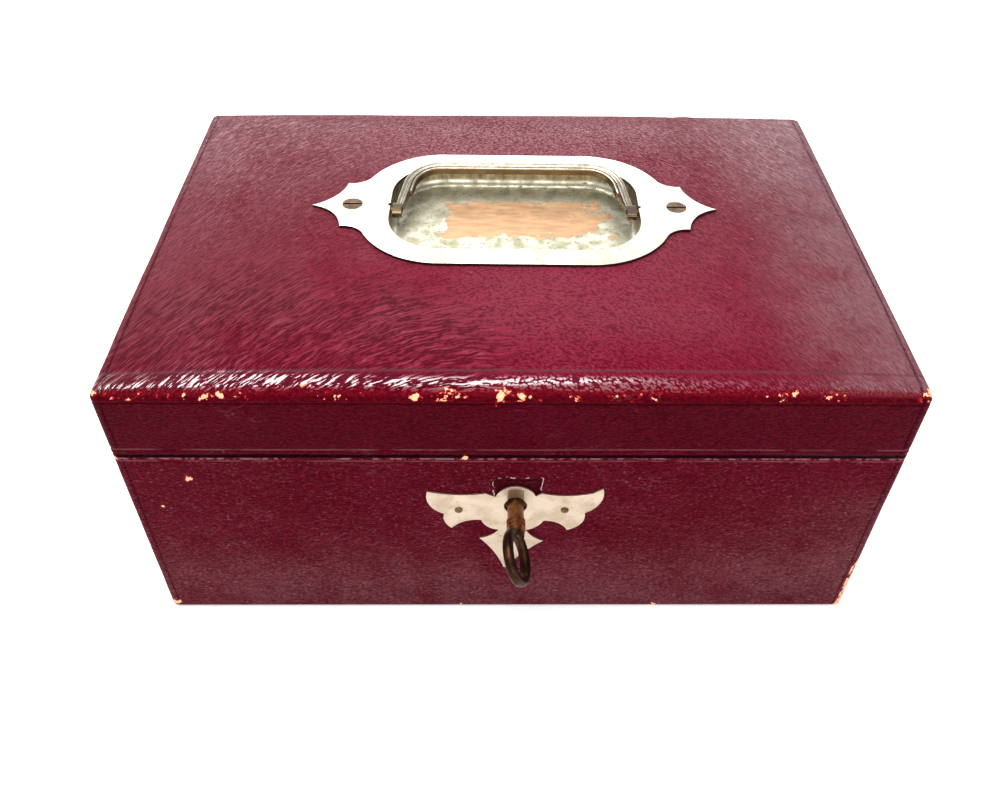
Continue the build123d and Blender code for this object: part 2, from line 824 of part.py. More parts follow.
# Hinges
def make_leaf(x_middle, turn):
    """A hinge leaf lying on the base's rim, with every second knuckle, starting from knuckle turn."""
    x0 = x_middle - hinge_length / 2
    pitch = hinge_length / knuckles
    edge = hinge_y - barrel_radius - barrel_clearance
    low = rim_height - leaf_thickness
    body = block(x0, x0 + hinge_length, hinge_y - leaf_width, edge, low, rim_height)
    for i in range(turn, knuckles, 2):
        k0 = x0 + i * pitch + knuckle_gap / 2
        k1 = x0 + (i + 1) * pitch - knuckle_gap / 2
        body += block(k0, k1, edge, hinge_y, low, rim_height)
        body += rod_x(barrel_radius, k0, k1, hinge_y, hinge_z)
    body -= rod_x(hinge_pin_radius + pin_clearance, x0 - 1, x0 + hinge_length + 1, hinge_y, hinge_z)
    for x, y in hinge_screw_places():
        body -= Pos(x, y, rim_height) * screw_hole(**hinge_screw, clearance=screw_clearance)
    return body


def make_hinges():
    parts = {}
    flip = Plane.XY.offset(hinge_z)
    for side, x in zip(("left", "right"), hinge_middles()):
        parts[f"base_hinge_leaf_{side}"] = make_leaf(x, 0)
        parts[f"lid_hinge_leaf_{side}"] = mirror(make_leaf(x, 1), flip)
        reach = hinge_length / 2
        parts[f"hinge_pin_{side}"] = rod_x(hinge_pin_radius, x - reach, x + reach, hinge_y, hinge_z)
    places = hinge_screw_places()
    parts["base_hinge_screws"] = [Pos(x, y, rim_height) * wood_screw(**hinge_screw) for x, y in places]
    parts["lid_hinge_screws"] = [
        Pos(x, y, lid_bottom) * Rot(180, 0, 0) * wood_screw(**hinge_screw) for x, y in places]
    return parts


# Linings, pads and tray
def make_base_linings():
    """Velvet-covered cards on the four walls, which stand up past the rim as a lip."""
    full = wall_blocks(room_x, room_y, lining, floor_top, rim_height)
    lips = wall_blocks(room_x - lip_relief, room_y - lip_relief, lining - lip_relief, floor_top,
                       rim_height + lip_rise)
    return {f"base_lining_{side}": full[side] + lips[side] for side in full}


def make_lid_linings():
    walls = wall_blocks(room_x, room_y, lid_lining, rim_height + lip_rise + lid_lining_gap, panel_bottom)
    return {f"lid_lining_{side}": wall for side, wall in walls.items()}


def soft_pad(half_x, half_y, thickness):
    """A padded cushion with its flat back at Z = 0 and its crown above."""
    edge = thickness * 0.6
    return crowned_block(half_x, half_y, 3.0, 0, edge, thickness - edge, edge * 0.6)


def button_places():
    """Buttons in three staggered rows, four in the middle row and three beside it."""
    places = [(button_pitch_x * i, s * button_pitch_y) for s in (-1, 1) for i in (-1, 0, 1)]
    return places + [(button_pitch_x * (i - 1.5), 0) for i in range(4)]


def make_lid_pad():
    half_x = room_x - lid_lining - pad_clearance
    half_y = room_y - lid_lining - pad_clearance
    body = soft_pad(half_x, half_y, lid_pad_thickness)
    for x, y in button_places():
        body -= Pos(x, y, lid_pad_thickness - tuft_depth / 2 + 0.01) * Cone(
            button_radius + pad_clearance, button_radius + tuft_spread, tuft_depth)
    return Pos(0, 0, panel_bottom) * Rot(180, 0, 0) * body


def make_pad_buttons():
    height = lid_pad_thickness - tuft_depth + 0.1
    button = rod_z(button_radius, height, height + button_height, 0, 0)
    button = fillet(button.edges().group_by(Axis.Z)[-1], button_height * 0.6)
    return [Pos(0, 0, panel_bottom) * Rot(180, 0, 0) * Pos(x, y, 0) * button
            for x, y in button_places()]


def make_tray():
    parts = {}
    outer_x = room_x - lining - tray_clearance
    outer_y = room_y - lining - tray_clearance
    bottom = tray_seat_height
    top = bottom + tray_height
    floor = bottom + tray_floor
    inner_x = outer_x - tray_rail
    inner_y = outer_y - tray_rail
    rails = wall_blocks(outer_x, outer_y, tray_rail, bottom, top)
    parts["tray_frame"] = list(rails.values())
    parts["tray_floor"] = block(-inner_x, inner_x, -inner_y, inner_y, bottom, floor)
    divider_top = top - divider_drop
    wall_y = long_divider_y - divider / 2
    bay = ring_bay_width / 2
    dividers = [block(-inner_x, inner_x, wall_y, wall_y + divider, floor, divider_top)]
    for s in (-1, 1):
        middle = s * (bay + divider / 2)
        dividers.append(block(middle - divider / 2, middle + divider / 2, -inner_y, wall_y, floor,
                              divider_top))
    parts["tray_dividers"] = dividers
    pitch = (wall_y + inner_y) / ring_rolls
    radius = (pitch - ring_roll_gap) / 2
    rolls = []
    for i in range(ring_rolls):
        y = -inner_y + pitch * (i + 0.5)
        roll = rod_x(radius, -bay + pad_clearance, bay - pad_clearance, y, floor + radius)
        rolls.append(fillet(roll.edges(), radius * 0.45))
    parts["ring_rolls"] = rolls
    gap = pad_clearance
    bays = {
        "tray_pad_back": (-inner_x, inner_x, wall_y + divider, inner_y),
        "tray_pad_left": (-inner_x, -bay - divider, -inner_y, wall_y),
        "tray_pad_right": (bay + divider, inner_x, -inner_y, wall_y),
    }
    for name, (x0, x1, y0, y1) in bays.items():
        pad = soft_pad((x1 - x0) / 2 - gap, (y1 - y0) / 2 - gap, tray_pad_thickness)
        parts[name] = Pos((x0 + x1) / 2, (y0 + y1) / 2, floor) * pad
    tabs = []
    for s in (-1, 1):
        face = s * (inner_x - tab_thickness / 2)
        tab = block(face - tab_thickness / 2, face + tab_thickness / 2, -tab_width / 2,
                    tab_width / 2, top - tab_depth + tab_rise, top + tab_rise)
        tabs.append(fillet(tab.edges().filter_by(Axis.X).group_by(Axis.Z)[-1], tab_width * 0.3))
    parts["tray_tabs"] = tabs
    return parts


def make_bearers():
    """Two strips on the side linings that carry the tray."""
    reach = room_y - lining - bearer_end_gap
    outer = room_x - lining
    low = tray_seat_height - bearer_height
    return {
        "tray_bearer_left": block(-outer, -outer + bearer_width, -reach, reach, low, tray_seat_height),
        "tray_bearer_right": block(outer - bearer_width, outer, -reach, reach, low, tray_seat_height),
    }


def make_floor_pad():
    half_x = room_x - lining - pad_clearance
    half_y = room_y - lining - pad_clearance
    return Pos(0, 0, floor_top) * soft_pad(half_x, half_y, floor_pad_thickness)


def make_parts():
    parts = {}
    parts.update(make_base_boards())
    parts["base_leather"] = make_base_leather()
    parts["bottom_cover"] = make_bottom_cover()
    parts.update(make_base_linings())
    parts["floor_pad"] = make_floor_pad()
    parts.update(make_bearers())
    parts["lock_plate"] = make_lock_plate()
    parts["lock_cap"] = make_lock_cap()
    parts["lock_screws"] = [lock_screw_frame(x, z) * wood_screw(**lock_screw)
                            for x, z in lock_screw_places()]
    parts["drill_pin"] = rod_y(drill_radius, lock_front - 1.8, plate_face, key_x, key_z)
    parts["lock_bolt"] = make_bolt()
    parts["lock_lever"] = make_lever()
    parts["lever_spring"] = make_lever_spring()
    parts["key"] = make_key()
    parts["escutcheon"] = make_escutcheon()
    parts["escutcheon_pins"] = make_escutcheon_pins()
    parts.update(make_hinges())
    parts.update(make_lid_woodwork())
    parts["lid_leather"] = make_lid_leather()
    parts["link_plate"] = make_link_plate()
    parts["link_screws"] = [Pos(x, eye_y, lid_bottom) * Rot(180, 0, 0) * wood_screw(**link_screw)
                            for x in link_screw_places()]
    parts["handle_plate"] = make_handle_plate()
    parts["handle_pan"] = make_handle_pan()
    parts["handle_screws"] = make_handle_screws()
    parts["bail"] = make_bail()
    parts["bail_pins"] = make_bail_pins()
    parts.update(make_lid_linings())
    parts["lid_pad"] = make_lid_pad()
    parts["lid_pad_buttons"] = make_pad_buttons()
    parts.update(make_tray())
    return parts


os.makedirs("parts", exist_ok=True)
for name, shape in make_parts().items():
    if isinstance(shape, list):
        shape = Compound(children=[s.solids()[0] for s in shape])
    export_step(shape, f"parts/{name}.step")
    print(name, len(shape.solids()), round(shape.volume, 1))
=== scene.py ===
# %% [markdown]
# # An antique jewellery box
# The real object is a wooden box covered with thin goatskin. Its lid swells like a pillow and
# carries a handle that folds into a metal pan. The frame loaded below holds every board, hinge
# and screw at its real size, each on the body that it moves with. This lesson gives each piece
# its finish, and builds anew the pieces whose look a plain solid can't hold: leather and cloth.

# %% The frame
import json
import math
import bmesh
import bpy
import numpy as np
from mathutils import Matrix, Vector, noise


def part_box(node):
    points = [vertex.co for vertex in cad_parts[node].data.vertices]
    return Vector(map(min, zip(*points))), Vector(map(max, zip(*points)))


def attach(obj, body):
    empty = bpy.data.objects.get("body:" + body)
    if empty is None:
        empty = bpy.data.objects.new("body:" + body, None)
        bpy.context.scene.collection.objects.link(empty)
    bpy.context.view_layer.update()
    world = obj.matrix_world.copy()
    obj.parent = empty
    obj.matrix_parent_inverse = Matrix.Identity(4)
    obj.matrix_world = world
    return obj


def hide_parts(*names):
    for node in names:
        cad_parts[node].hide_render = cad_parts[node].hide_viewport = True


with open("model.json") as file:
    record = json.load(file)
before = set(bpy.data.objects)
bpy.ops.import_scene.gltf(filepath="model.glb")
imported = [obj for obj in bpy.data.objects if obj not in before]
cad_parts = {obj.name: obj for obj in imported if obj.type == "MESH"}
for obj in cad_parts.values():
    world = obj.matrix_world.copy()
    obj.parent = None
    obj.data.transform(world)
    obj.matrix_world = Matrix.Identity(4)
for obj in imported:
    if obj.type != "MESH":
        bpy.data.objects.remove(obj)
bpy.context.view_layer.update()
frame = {"nodes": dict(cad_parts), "record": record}

# %% [markdown]
# ## Sizes
# The frame is in metres, but a box of this size is easier to think of in millimetres. So the
# sizes are read from the frame in millimetres, and only the finished points are scaled.
# The crown of the lid follows a formula that is flat in the middle and falls at all four edges.
# The lines are where a hot iron was run along the leather, measured from the edges or the table.

# %% Sizes from the frame
mm = 0.001


def box(node):
    """The two corners of a piece of the frame, in millimetres."""
    low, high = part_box(node)
    return low / mm, high / mm


base_low, base_high = box("base_leather")
plate_low, plate_high = box("handle_plate")
half_length = base_high.x
half_depth = base_high.y
rim_height = base_high.z
lid_bottom = box("lid_leather")[0].z
room_x = box("base_lining_front")[1].x
handle_x = (plate_low.x + plate_high.x) / 2
handle_y = (plate_low.y + plate_high.y) / 2
eave_height = 123.5
crown_rise = 8.5
crown_power = 3.5
corner_radius = 3.0
edge_roll = 4.5
leather = 0.85
hinge_y = half_depth - 3.0
hinge_z = (rim_height + lid_bottom) / 2
hinge_x = 85.0
barrel_radius, barrel_reach = 2.9, 18.3
bevel_slope = math.tan(math.radians(49.0))
front_line = 9.0
side_line = 4.6
upper_line = 118.6
lower_line = 96.2
base_line = 90.3
corner_line = 3.8
line_width = 0.45
key_x = 1.75
key_z = 66.8
scar_left, scar_right, scar_top = key_x - 7.6, key_x + 9.2, key_z + 14.4
print("covered box:", round(2 * half_length), "x", round(2 * half_depth), "mm")


def crown(x, y):
    """The height of the lid's pillow above the table."""
    along = 1 - abs(x / half_length) ** crown_power
    across = 1 - abs(y / half_depth) ** crown_power
    return eave_height + crown_rise * along * across


# %% [markdown]
# ## A small language for finishes
# A finish is a web of nodes, and sums drawn as nodes are hard to read. Here a `Wire` is one
# socket, and adding or multiplying wires adds the Math nodes. A `Finish` is one material: its
# `node` method makes any other node from its kind, its settings and what its sockets get, and
# its `tint` method lays one more colour over those it has.

# %% Wires and finishes


class Wire:
    """A socket in a sum: each operator adds the Math node that it stands for."""

    def __init__(self, finish, socket):
        self.finish = finish
        self.socket = socket

    def math(self, operation, first, second=0.0):
        return self.finish.node("Math", {"operation": operation}, {0: first, 1: second})

    def __add__(self, other):
        return self.math("ADD", self, other)

    def __sub__(self, other):
        return self.math("SUBTRACT", self, other)

    def __rsub__(self, other):
        return self.math("SUBTRACT", other, self)

    def __mul__(self, other):
        return self.math("MULTIPLY", self, other)

    def __truediv__(self, other):
        return self.math("DIVIDE", self, other)

    def __abs__(self):
        return self.math("ABSOLUTE", self)

    __radd__ = __add__

    def rise(self, low, high):
        """0 up to low, 1 from high on, and a soft step between them."""
        return self.finish.node(
            "MapRange", {"interpolation_type": "SMOOTHSTEP"},
            {"Value": self, "From Min": low, "From Max": high})

    def band(self, low, high, soft):
        """1 between low and high, and 0 a soft width outside them."""
        return self.rise(low - soft, low) * (1 - self.rise(high, high + soft))


finishes = {}


class Finish:
    """One material. Places are in millimetres in the box's own frame, so grain has a real size."""

    def __init__(self, name, **fixed):
        self.material = bpy.data.materials.new(name)
        self.material.use_nodes = True
        finishes[name] = self.material
        self.tree = self.material.node_tree
        self.shader = self.tree.nodes["Principled BSDF"]
        for socket, value in fixed.items():
            self.shader.inputs[socket.replace("_", " ")].default_value = value
        spot = self.node("TexCoord", out="Object")
        self.place = self.node("VectorMath", {"operation": "SCALE"}, {0: spot, "Scale": 1 / mm})
        self.x, self.y, self.z = (self.node("SeparateXYZ", {}, {0: self.place}, out=i) for i in range(3))

    def node(self, kind, settings=None, sockets=None, out=0):
        made = self.tree.nodes.new("ShaderNode" + kind)
        for key, value in (settings or {}).items():
            if key == "stops":
                ramp = made.color_ramp.elements
                while len(ramp) < len(value):
                    ramp.new(0.5)
                for stop, (position, colour) in zip(ramp, value):
                    stop.position = position
                    stop.color = colour
            else:
                setattr(made, key, value)
        for key, value in (sockets or {}).items():
            if isinstance(value, Wire):
                self.tree.links.new(value.socket, made.inputs[key])
            else:
                made.inputs[key].default_value = value
        return Wire(self, made.outputs[out])

    def vector(self, x, y, z):
        return self.node("CombineXYZ", {}, {0: x, 1: y, 2: z})

    def cloud(self, size, detail=2.0, where=None):
        """Soft noise, from about 0.2 to 0.8, whose blotches are about this many millimetres."""
        sockets = {"Vector": where or self.place, "Scale": 1 / size, "Detail": detail}
        return self.node("TexNoise", {}, sockets)

    def cells(self, size, where=None):
        """The distance to the nearest of many scattered points, in cells of this size."""
        return self.node("TexVoronoi", {}, {"Vector": where or self.place, "Scale": 1 / size})

    def near(self, x, y, z):
        """The distance from a point of the box."""
        return self.node("VectorMath", {"operation": "DISTANCE"}, {0: self.place, 1: (x, y, z)}, out=1)

    def facing_up(self):
        """How far the surface faces up: 1 on a level top, 0 on a wall and -1 underneath."""
        return self.node("SeparateXYZ", {}, {0: self.node("TexCoord", out="Normal")}, out=2)

    def mix(self, share, first, second):
        """A colour between two colours."""
        return self.node("Mix", {"data_type": "RGBA"}, {0: share, 6: first, 7: second}, out=2)

    def tint(self, share, colour):
        """Lays a colour over the finish's own colour, as far as the share says."""
        self.colour = self.mix(share, self.colour, colour)

    def bump(self, height, depth, normal=None):
        """Raised detail of this many millimetres."""
        sockets = {"Height": height, "Distance": depth * mm, "Strength": 1.0}
        if normal is not None:
            sockets["Normal"] = normal
        return self.node("Bump", {}, sockets)

    def wear(self, **outputs):
        """Connects the colour, and what else changes over the surface, to the shader."""
        for socket, wire in dict(outputs, Base_Color=self.colour).items():
            self.tree.links.new(wire.socket, self.shader.inputs[socket.replace("_", " ")])
        return self.material


def shade(red, green, blue):
    """A colour as a screen shows it, 0 to 255, made linear for the shader."""
    parts = [value / 255 for value in (red, green, blue)]
    return tuple(p / 12.92 if p <= 0.04045 else ((p + 0.055) / 1.055) ** 2.4 for p in parts) + (1.0,)


# %% [markdown]
# ## Camera
# The photograph looks down on the box from in front. The camera's place, turn and focal length
# were found by fitting the covered box's corners, so the render can be laid over the photograph.

# %% Camera


def add(name, data):
    """Puts a new object into the scene."""
    made = bpy.data.objects.new(name, data)
    bpy.context.scene.collection.objects.link(made)
    return made


camera_data = bpy.data.cameras.new("camera")
camera_data.lens = 33.435
camera_data.sensor_width = 36.0
camera_data.sensor_fit = "HORIZONTAL"
camera_data.clip_start = 0.01
camera_data.clip_end = 50.0
camera = add("camera", camera_data)
camera.location = (-0.008236, -0.314717, 0.334694)
camera.rotation_mode = "YXZ"
camera.rotation_euler = (0.804480, -0.014970, 0.003122)
bpy.context.scene.camera = camera
print("camera stands", round(camera.location.length, 3), "m from the middle of the underside")

# %% [markdown]
# ## Leather: the finish
# The skin is long-grain morocco: goatskin that was boarded until it creased into short ridges.
# The ridges run as shallow arcs over the lid, so the grain is drawn in a bent coordinate and
# stretched along it. Noise gives the ridges and cells give the pebbles between them. The same
# grain feeds the bump, the colour with its painted shade in the creases and painted highlights on
# the crests, and the shine, so that all three agree on where a crest is.

# %% The grain of the leather
arc_bend = 0.0052


def long_grain(finish, along, across, other, spacing, length):
    """Ridges that run along one coordinate, as heights from 0 in a crease to 1 on a crest."""
    where = finish.vector(along / length, across / spacing, other / spacing)
    ridges = finish.cloud(1.0, 3.0, where)
    crest = abs(ridges * 2 - 1) * 2.8
    return crest.rise(0.0, 1.0)


def pebbles(finish, along, across, other, size):
    """Small rounded grains that are a little longer than wide, from 0 between them to 1 on top."""
    where = finish.vector(along / (size * 1.5), across / size, other / size)
    return 1 - finish.cells(1.0, where).rise(0.15, 0.85)


def lay_out(f):
    """The regions that the rest of the finish speaks of, each from 0 to 1, and a slow warp."""
    f.up = f.facing_up()
    f.flat = f.up.rise(0.35, 0.8)
    f.wall = 1 - f.flat
    f.left = 1 - f.x.rise(-70, 50)
    f.rear = f.y.rise(-50, 92)
    f.edges = (abs(f.x) / half_length).rise(0.55, 1.0)
    f.front_roll = 1 - (f.y - (f.x * -1).rise(30, 110) * 3).rise(-92.0, -88.5)
    f.warp = f.cloud(16.0, 2.0) - 0.5
    f.coarse = (f.left * (1 - f.y.rise(-84, 0)) + (f.cloud(60.0, 1.0) - 0.5)).rise(0.2, 0.8)


def top_grain(f):
    """Arcs of ridges on the lid: coarse at the front left, and mostly pebbles in the middle."""
    along = f.x + f.warp * 6
    bent = f.y + f.x * f.x * arc_bend + (f.cloud(13.0, 2.0) - 0.5) * 5
    middle = 1 - (abs(f.x - 8) + f.warp * 70).rise(30, 90)
    fine = long_grain(f, along, bent, f.z, 0.9, 4.2) * (0.62 - middle * 0.35)
    fine = fine + pebbles(f, along, bent, f.z, 0.85) * (0.38 + middle * 0.35)
    coarse = long_grain(f, along, bent, f.z, 1.35, 11.0) * 0.75
    coarse = coarse + pebbles(f, along, bent, f.z, 1.3) * 0.25
    return fine * (1 - f.coarse) + coarse * f.coarse


def wall_grain(f):
    """Short ridges and pebbles in even measure, along the walls."""
    along = f.x + f.y
    across = f.z + f.warp * 5 + (f.cloud(5.0, 1.0) - 0.5) * 1.6
    return (long_grain(f, along, across, 0.0, 1.0, 2.6) + pebbles(f, along, across, 0.0, 0.95)) * 0.5


# %% [markdown]
# The dye has worn unevenly, and light and shade are painted into it. A painted pool of light
# brightens the middle of the lid. Towards the back and the edges the colour is dusty, with a
# painted mauve sheen over it that is paler on the right. Low on the walls it is paler, partly wax
# bloom and partly a painted reflection of the floor. Painted shade darkens the creases, the walls
# and the turn of the roll, and painted highlights lighten the crests. Each mark below is one more
# `tint`: a colour, and a mask worked out with wires that says how much of it shows.

# %% The dye of the leather, with light and shade painted into it
wine = shade(90, 1, 21)
crimson = shade(109, 7, 38)
ruby = shade(100, 0, 30)
# The darkest red: painted shade in creases and on the walls, and the dark tooled lines and scar.
darkest_red = shade(24, 0, 6)
# Painted shade for where the roll turns down into the lid's wall.
roll_shade_red = shade(104, 0, 12)
# Dust, and a painted mauve sheen, towards the back and the edges.
dust_and_sheen_mauve = shade(116, 70, 77)
# A painted sheen on the right of the lid.
sheen_mauve = shade(136, 112, 116)
# Pale grey for scratches and worn lines, and for painted highlights and floor reflection.
bloom_grey = shade(138, 90, 96)


def dye_and_painted_light(f, grain):
    """The colour before any damage, with painted light and shade in it. It keeps the mask of the wax bloom
    and painted floor reflection for the marks and the shine.
    """
    # A painted pool of light: the middle of the lid is mixed towards crimson, over tone that varies at
    # random.
    centre = 1 - f.near(30.0, -62.0, 128.0).rise(15, 135)
    f.colour = f.mix(f.cloud(38.0, 3.0).rise(0.35, 0.7) * 0.25 + centre * f.flat * 0.7, wine, crimson)
    # Dust towards the back and the edges, with a painted mauve sheen over it.
    dust_and_sheen = 0.42 + f.rear * 0.6 + f.edges * (0.25 + f.x.rise(-20, 60) * 0.45)
    dust_and_sheen = dust_and_sheen * f.flat * f.cloud(30.0, 3.0).rise(0.0, 0.6)
    f.tint(dust_and_sheen * 0.62, dust_and_sheen_mauve)
    f.tint((1 - f.y.rise(-86, -62)) * f.flat * (1 - f.edges * 0.6) * 0.62, ruby)
    # A painted sheen, a paler mauve, over the right side of the lid.
    right = f.edges * f.x.rise(20, 110) * f.flat
    f.tint(right * f.cloud(14.0, 4.0).rise(0.2, 0.6) * 0.34, sheen_mauve)
    # Painted shade: darker red where the roll turns down into the lid's wall.
    f.tint(f.z.rise(117.5, 119.5) * (1 - f.up.rise(0.75, 0.92)) * 0.7, roll_shade_red)
    # Paler low on the walls and on the right: partly wax bloom, partly a painted reflection of the floor.
    low = (1 - f.z.rise(4, 60) + f.x.rise(60, 140) * (1 - f.z.rise(60, 90)) * 0.5).rise(0.0, 1.0)
    f.bloom = low * f.wall * f.cloud(18.0, 4.0).rise(0.15, 0.62)
    f.tint(f.bloom * 0.33, bloom_grey)
    # Painted shade in the creases of the grain, deeper in the coarse grain on the top.
    f.tint((1 - grain.rise(0.10, 0.50)) * (0.46 + f.coarse * f.flat * 0.16), darkest_red)
    # Painted highlights on the crests, stronger with the painted sheen and floor reflection.
    f.tint(grain.rise(0.80, 0.96) * (0.05 + f.bloom * 0.65 + dust_and_sheen * 0.22), bloom_grey)


def wall_scuffs_and_light(f, grain):
    """Painted highlights on the walls, as pale flecks on the crests and wavy pale threads, a few long
    scratches, and painted shade over all the walls.
    """
    # Painted highlights: pale flecks on the crests of the walls.
    flecks = grain.rise(0.45, 0.8) * f.cloud(1.2, 3.0).rise(0.48, 0.60)
    flecks = flecks * f.wall * (1 - f.z.rise(91, 93) * 0.8)
    f.tint(flecks * (0.32 + f.bloom * 0.35), bloom_grey)
    # Painted highlights: wavy pale threads low on the walls.
    waves = f.vector((f.x + f.z) / 7, (f.z - f.x * 0.45 + f.y + f.warp * 14) / 1.6, f.y / 7)
    threads = 1 - abs(f.cloud(1.0, 3.0, waves) - 0.5).rise(0.004, 0.028)
    threads = threads * f.wall * (1 - f.z.rise(30, 93) * 0.9)
    f.tint(threads * f.cloud(19.0, 3.0).rise(0.36, 0.66) * 0.42, bloom_grey)
    slanting = f.vector(f.x * 0.03 + f.z * 0.02, f.x * 0.5 + f.y + f.z, f.z - f.x * 0.3)
    scratches = 1 - abs(f.cloud(9.0, 4.0, slanting) - 0.5).rise(0.002, 0.012)
    nicks = 1 - f.cells(6.5).rise(0.06, 0.11)
    scratches = (scratches * f.wall * 0.5 + nicks) * f.cloud(22.0, 3.0).rise(0.52, 0.66)
    f.tint(scratches * 0.45, bloom_grey)
    # Painted shade over all the walls, deeper on the lid's walls under the roll.
    f.tint(f.wall * (0.32 + f.z.rise(92, 96) * 0.18), darkest_red)


# %% [markdown]
# Lines were run along the edges with a hot iron. On the lid they are still dark, and beside the
# opening they have worn pale. A painted highlight runs along the base's lip, and painted shade
# fills the gap under the lid. The scar over the keyhole shows where a larger plate once sat.

# %% Lines, opening and scar
line_grey = shade(80, 44, 50)
# Painted shade for the gap between lid and base.
seam_shade = shade(14, 0, 4)
pale_flesh = shade(216, 190, 186)


def pressed(distance, width):
    """1 on a line and 0 past its width, from the distance to it."""
    return 1 - abs(distance).rise(width * 0.3, width)


def tool_lines_and_seam_light(f):
    """The ironed lines, a painted highlight along the lip of the base, and painted shade in the gap under the
    lid.
    """
    from_side = half_length - abs(f.x)
    dark = pressed(from_side - side_line, 0.7) * f.flat + pressed(f.z - upper_line, 0.55) * f.wall
    dark = dark + pressed(from_side - corner_line, 0.5) * f.wall * (1 - f.y.rise(-95, -94))
    f.tint(dark.rise(0.0, 1.0) * 0.6, darkest_red)
    pale = (pressed(f.z - base_line, 0.5) + pressed(f.z - lower_line, 0.5)) * f.wall
    f.tint(pale * f.cloud(9.0, 4.0).rise(0.3, 0.6) * 0.35, bloom_grey)
    f.tint(pressed(f.y + half_depth - front_line, 0.9) * f.flat * 0.6, line_grey)
    # A painted highlight, broken up, along the lip of the base.
    lip = f.z.band(rim_height - 1.5, rim_height - 0.9, 0.3) * f.wall
    f.tint(lip * f.cloud(2.6, 4.0).rise(0.46, 0.56) * 0.7, bloom_grey)
    # Painted shade: near black along the gap between lid and base, at the outer faces.
    from_edge = f.x.math("MINIMUM", from_side, half_depth - abs(f.y))
    f.tint(pressed(f.z - rim_height, 1.2) * (1 - from_edge.rise(0.3, 1.0)) * 0.95, seam_shade)


def scar(f):
    """The sunken patch over the keyhole, with its torn and paler rim."""
    x = f.x + (f.cloud(3.4, 4.0) - 0.5) * 3.8
    z = f.z + (f.cloud(2.8, 4.0) - 0.5) * 3.8
    face = 1 - f.y.rise(-half_depth + 0.6, -half_depth + 1.2)
    patch = x.band(scar_left, scar_right, 0.25) * z.band(key_z, scar_top, 0.25) * face
    rim = x.band(scar_left - 0.35, scar_right + 0.35, 0.2) * z.band(key_z, scar_top + 0.35, 0.2) * face
    f.tint((rim - patch).rise(0.2, 0.8) * f.cloud(2.6, 3.0).rise(0.47, 0.56) * 0.8, pale_flesh)
    f.tint(patch * 0.55, darkest_red)


# %% [markdown]
# Knocks have taken the surface off along the edges and left bare hide, ringed with raw red. The
# larger ones are placed one by one, each as a point on the box and how far it reaches.

# %% Rubbed places
sore_red = shade(150, 24, 30)
bare_hide = shade(242, 178, 138)
scuff_places = [
    ((-117.3, -96.0, 121.8), 0.9), ((-113.4, -96.0, 121.8), 1.2), ((-102.0, -96.0, 121.8), 1.3),
    ((-96.4, -95.6, 122.4), 1.5), ((-91.8, -95.6, 122.4), 1.2), ((-69.6, -92.8, 125.4), 1.5),
    ((-50.0, -95.4, 122.6), 1.1), ((-43.8, -95.6, 122.4), 0.9), ((-32.4, -96.0, 121.6), 1.6),
    ((-20.9, -95.6, 122.4), 2.2), ((-3.6, -95.8, 122.0), 2.8), ((2.6, -96.0, 121.8), 1.2),
    ((-75.2, -84.0, 127.4), 0.9), ((42.0, -90.0, 126.6), 0.9), ((92.6, -95.2, 122.6), 1.6),
    ((-115.6, -96.0, 80.9), 1.7), ((-128.0, -96.0, 65.5), 1.0), ((-139.2, -94.6, 91.6), 1.8),
    ((-16.5, -96.0, 92.4), 1.2), ((-138.2, -94.0, 122.6), 2.0), ((138.0, -94.8, 122.2), 2.2),
    ((-137.0, -95.6, 3.0), 1.9), ((139.6, -94.8, 11.0), 2.2), ((139.4, -94.8, 30.0), 1.6),
    ((138.0, -95.4, 2.6), 2.4), ((-20.0, -95.9, 1.6), 1.0), ((61.0, -95.9, 1.4), 1.2),
]
torn_x, torn_z = (137.6, 140.4), (3.0, 31.0)


def rubbed_away(f):
    """How far the surface is gone: 0 where it is whole, and bare hide from about 0.5 on."""
    specks = f.cloud(1.7, 4.0)
    front_edge = f.z.band(120.2, 123.0, 0.8) * (1 - f.y.rise(-95.0, -93.8))
    foot_edge = 1 - f.z.rise(0.5, 1.8)
    corner = half_length + half_depth
    upright_edge = (abs(f.x) + abs(f.y)).rise(corner - 2.2, corner - 1.2)
    rubbed = (front_edge + upright_edge * 0.9 + foot_edge * 0.8) * specks.rise(0.54, 0.64)
    rubbed = rubbed * f.cloud(11.0, 3.0).rise(0.50, 0.62) * 0.8
    ragged = (f.cloud(2.2, 5.0) - 0.5) * 4.4
    for place, size in scuff_places:
        rubbed = rubbed + (1 - (f.near(*place) / size + ragged).rise(0.2, 1.15))
    torn = f.x.band(*torn_x, 0.5) * (f.z + ragged).band(*torn_z, 1.2)
    rubbed = rubbed + torn * f.wall * specks.rise(0.42, 0.52) * 0.9
    f.tint(rubbed.rise(0.05, 0.4) * 0.8, sore_red)
    f.tint(rubbed.rise(0.45, 0.8), bare_hide)
    return rubbed


# %% [markdown]
# The shine has two layers. The leather itself is almost matt. Over it lies an old wax coat,
# which is strong on the crests of the front roll, where the light from above is mirrored, and
# faint towards the back. A coat whose weight follows the grain breaks the light into streaks.

# %% The leather, put together


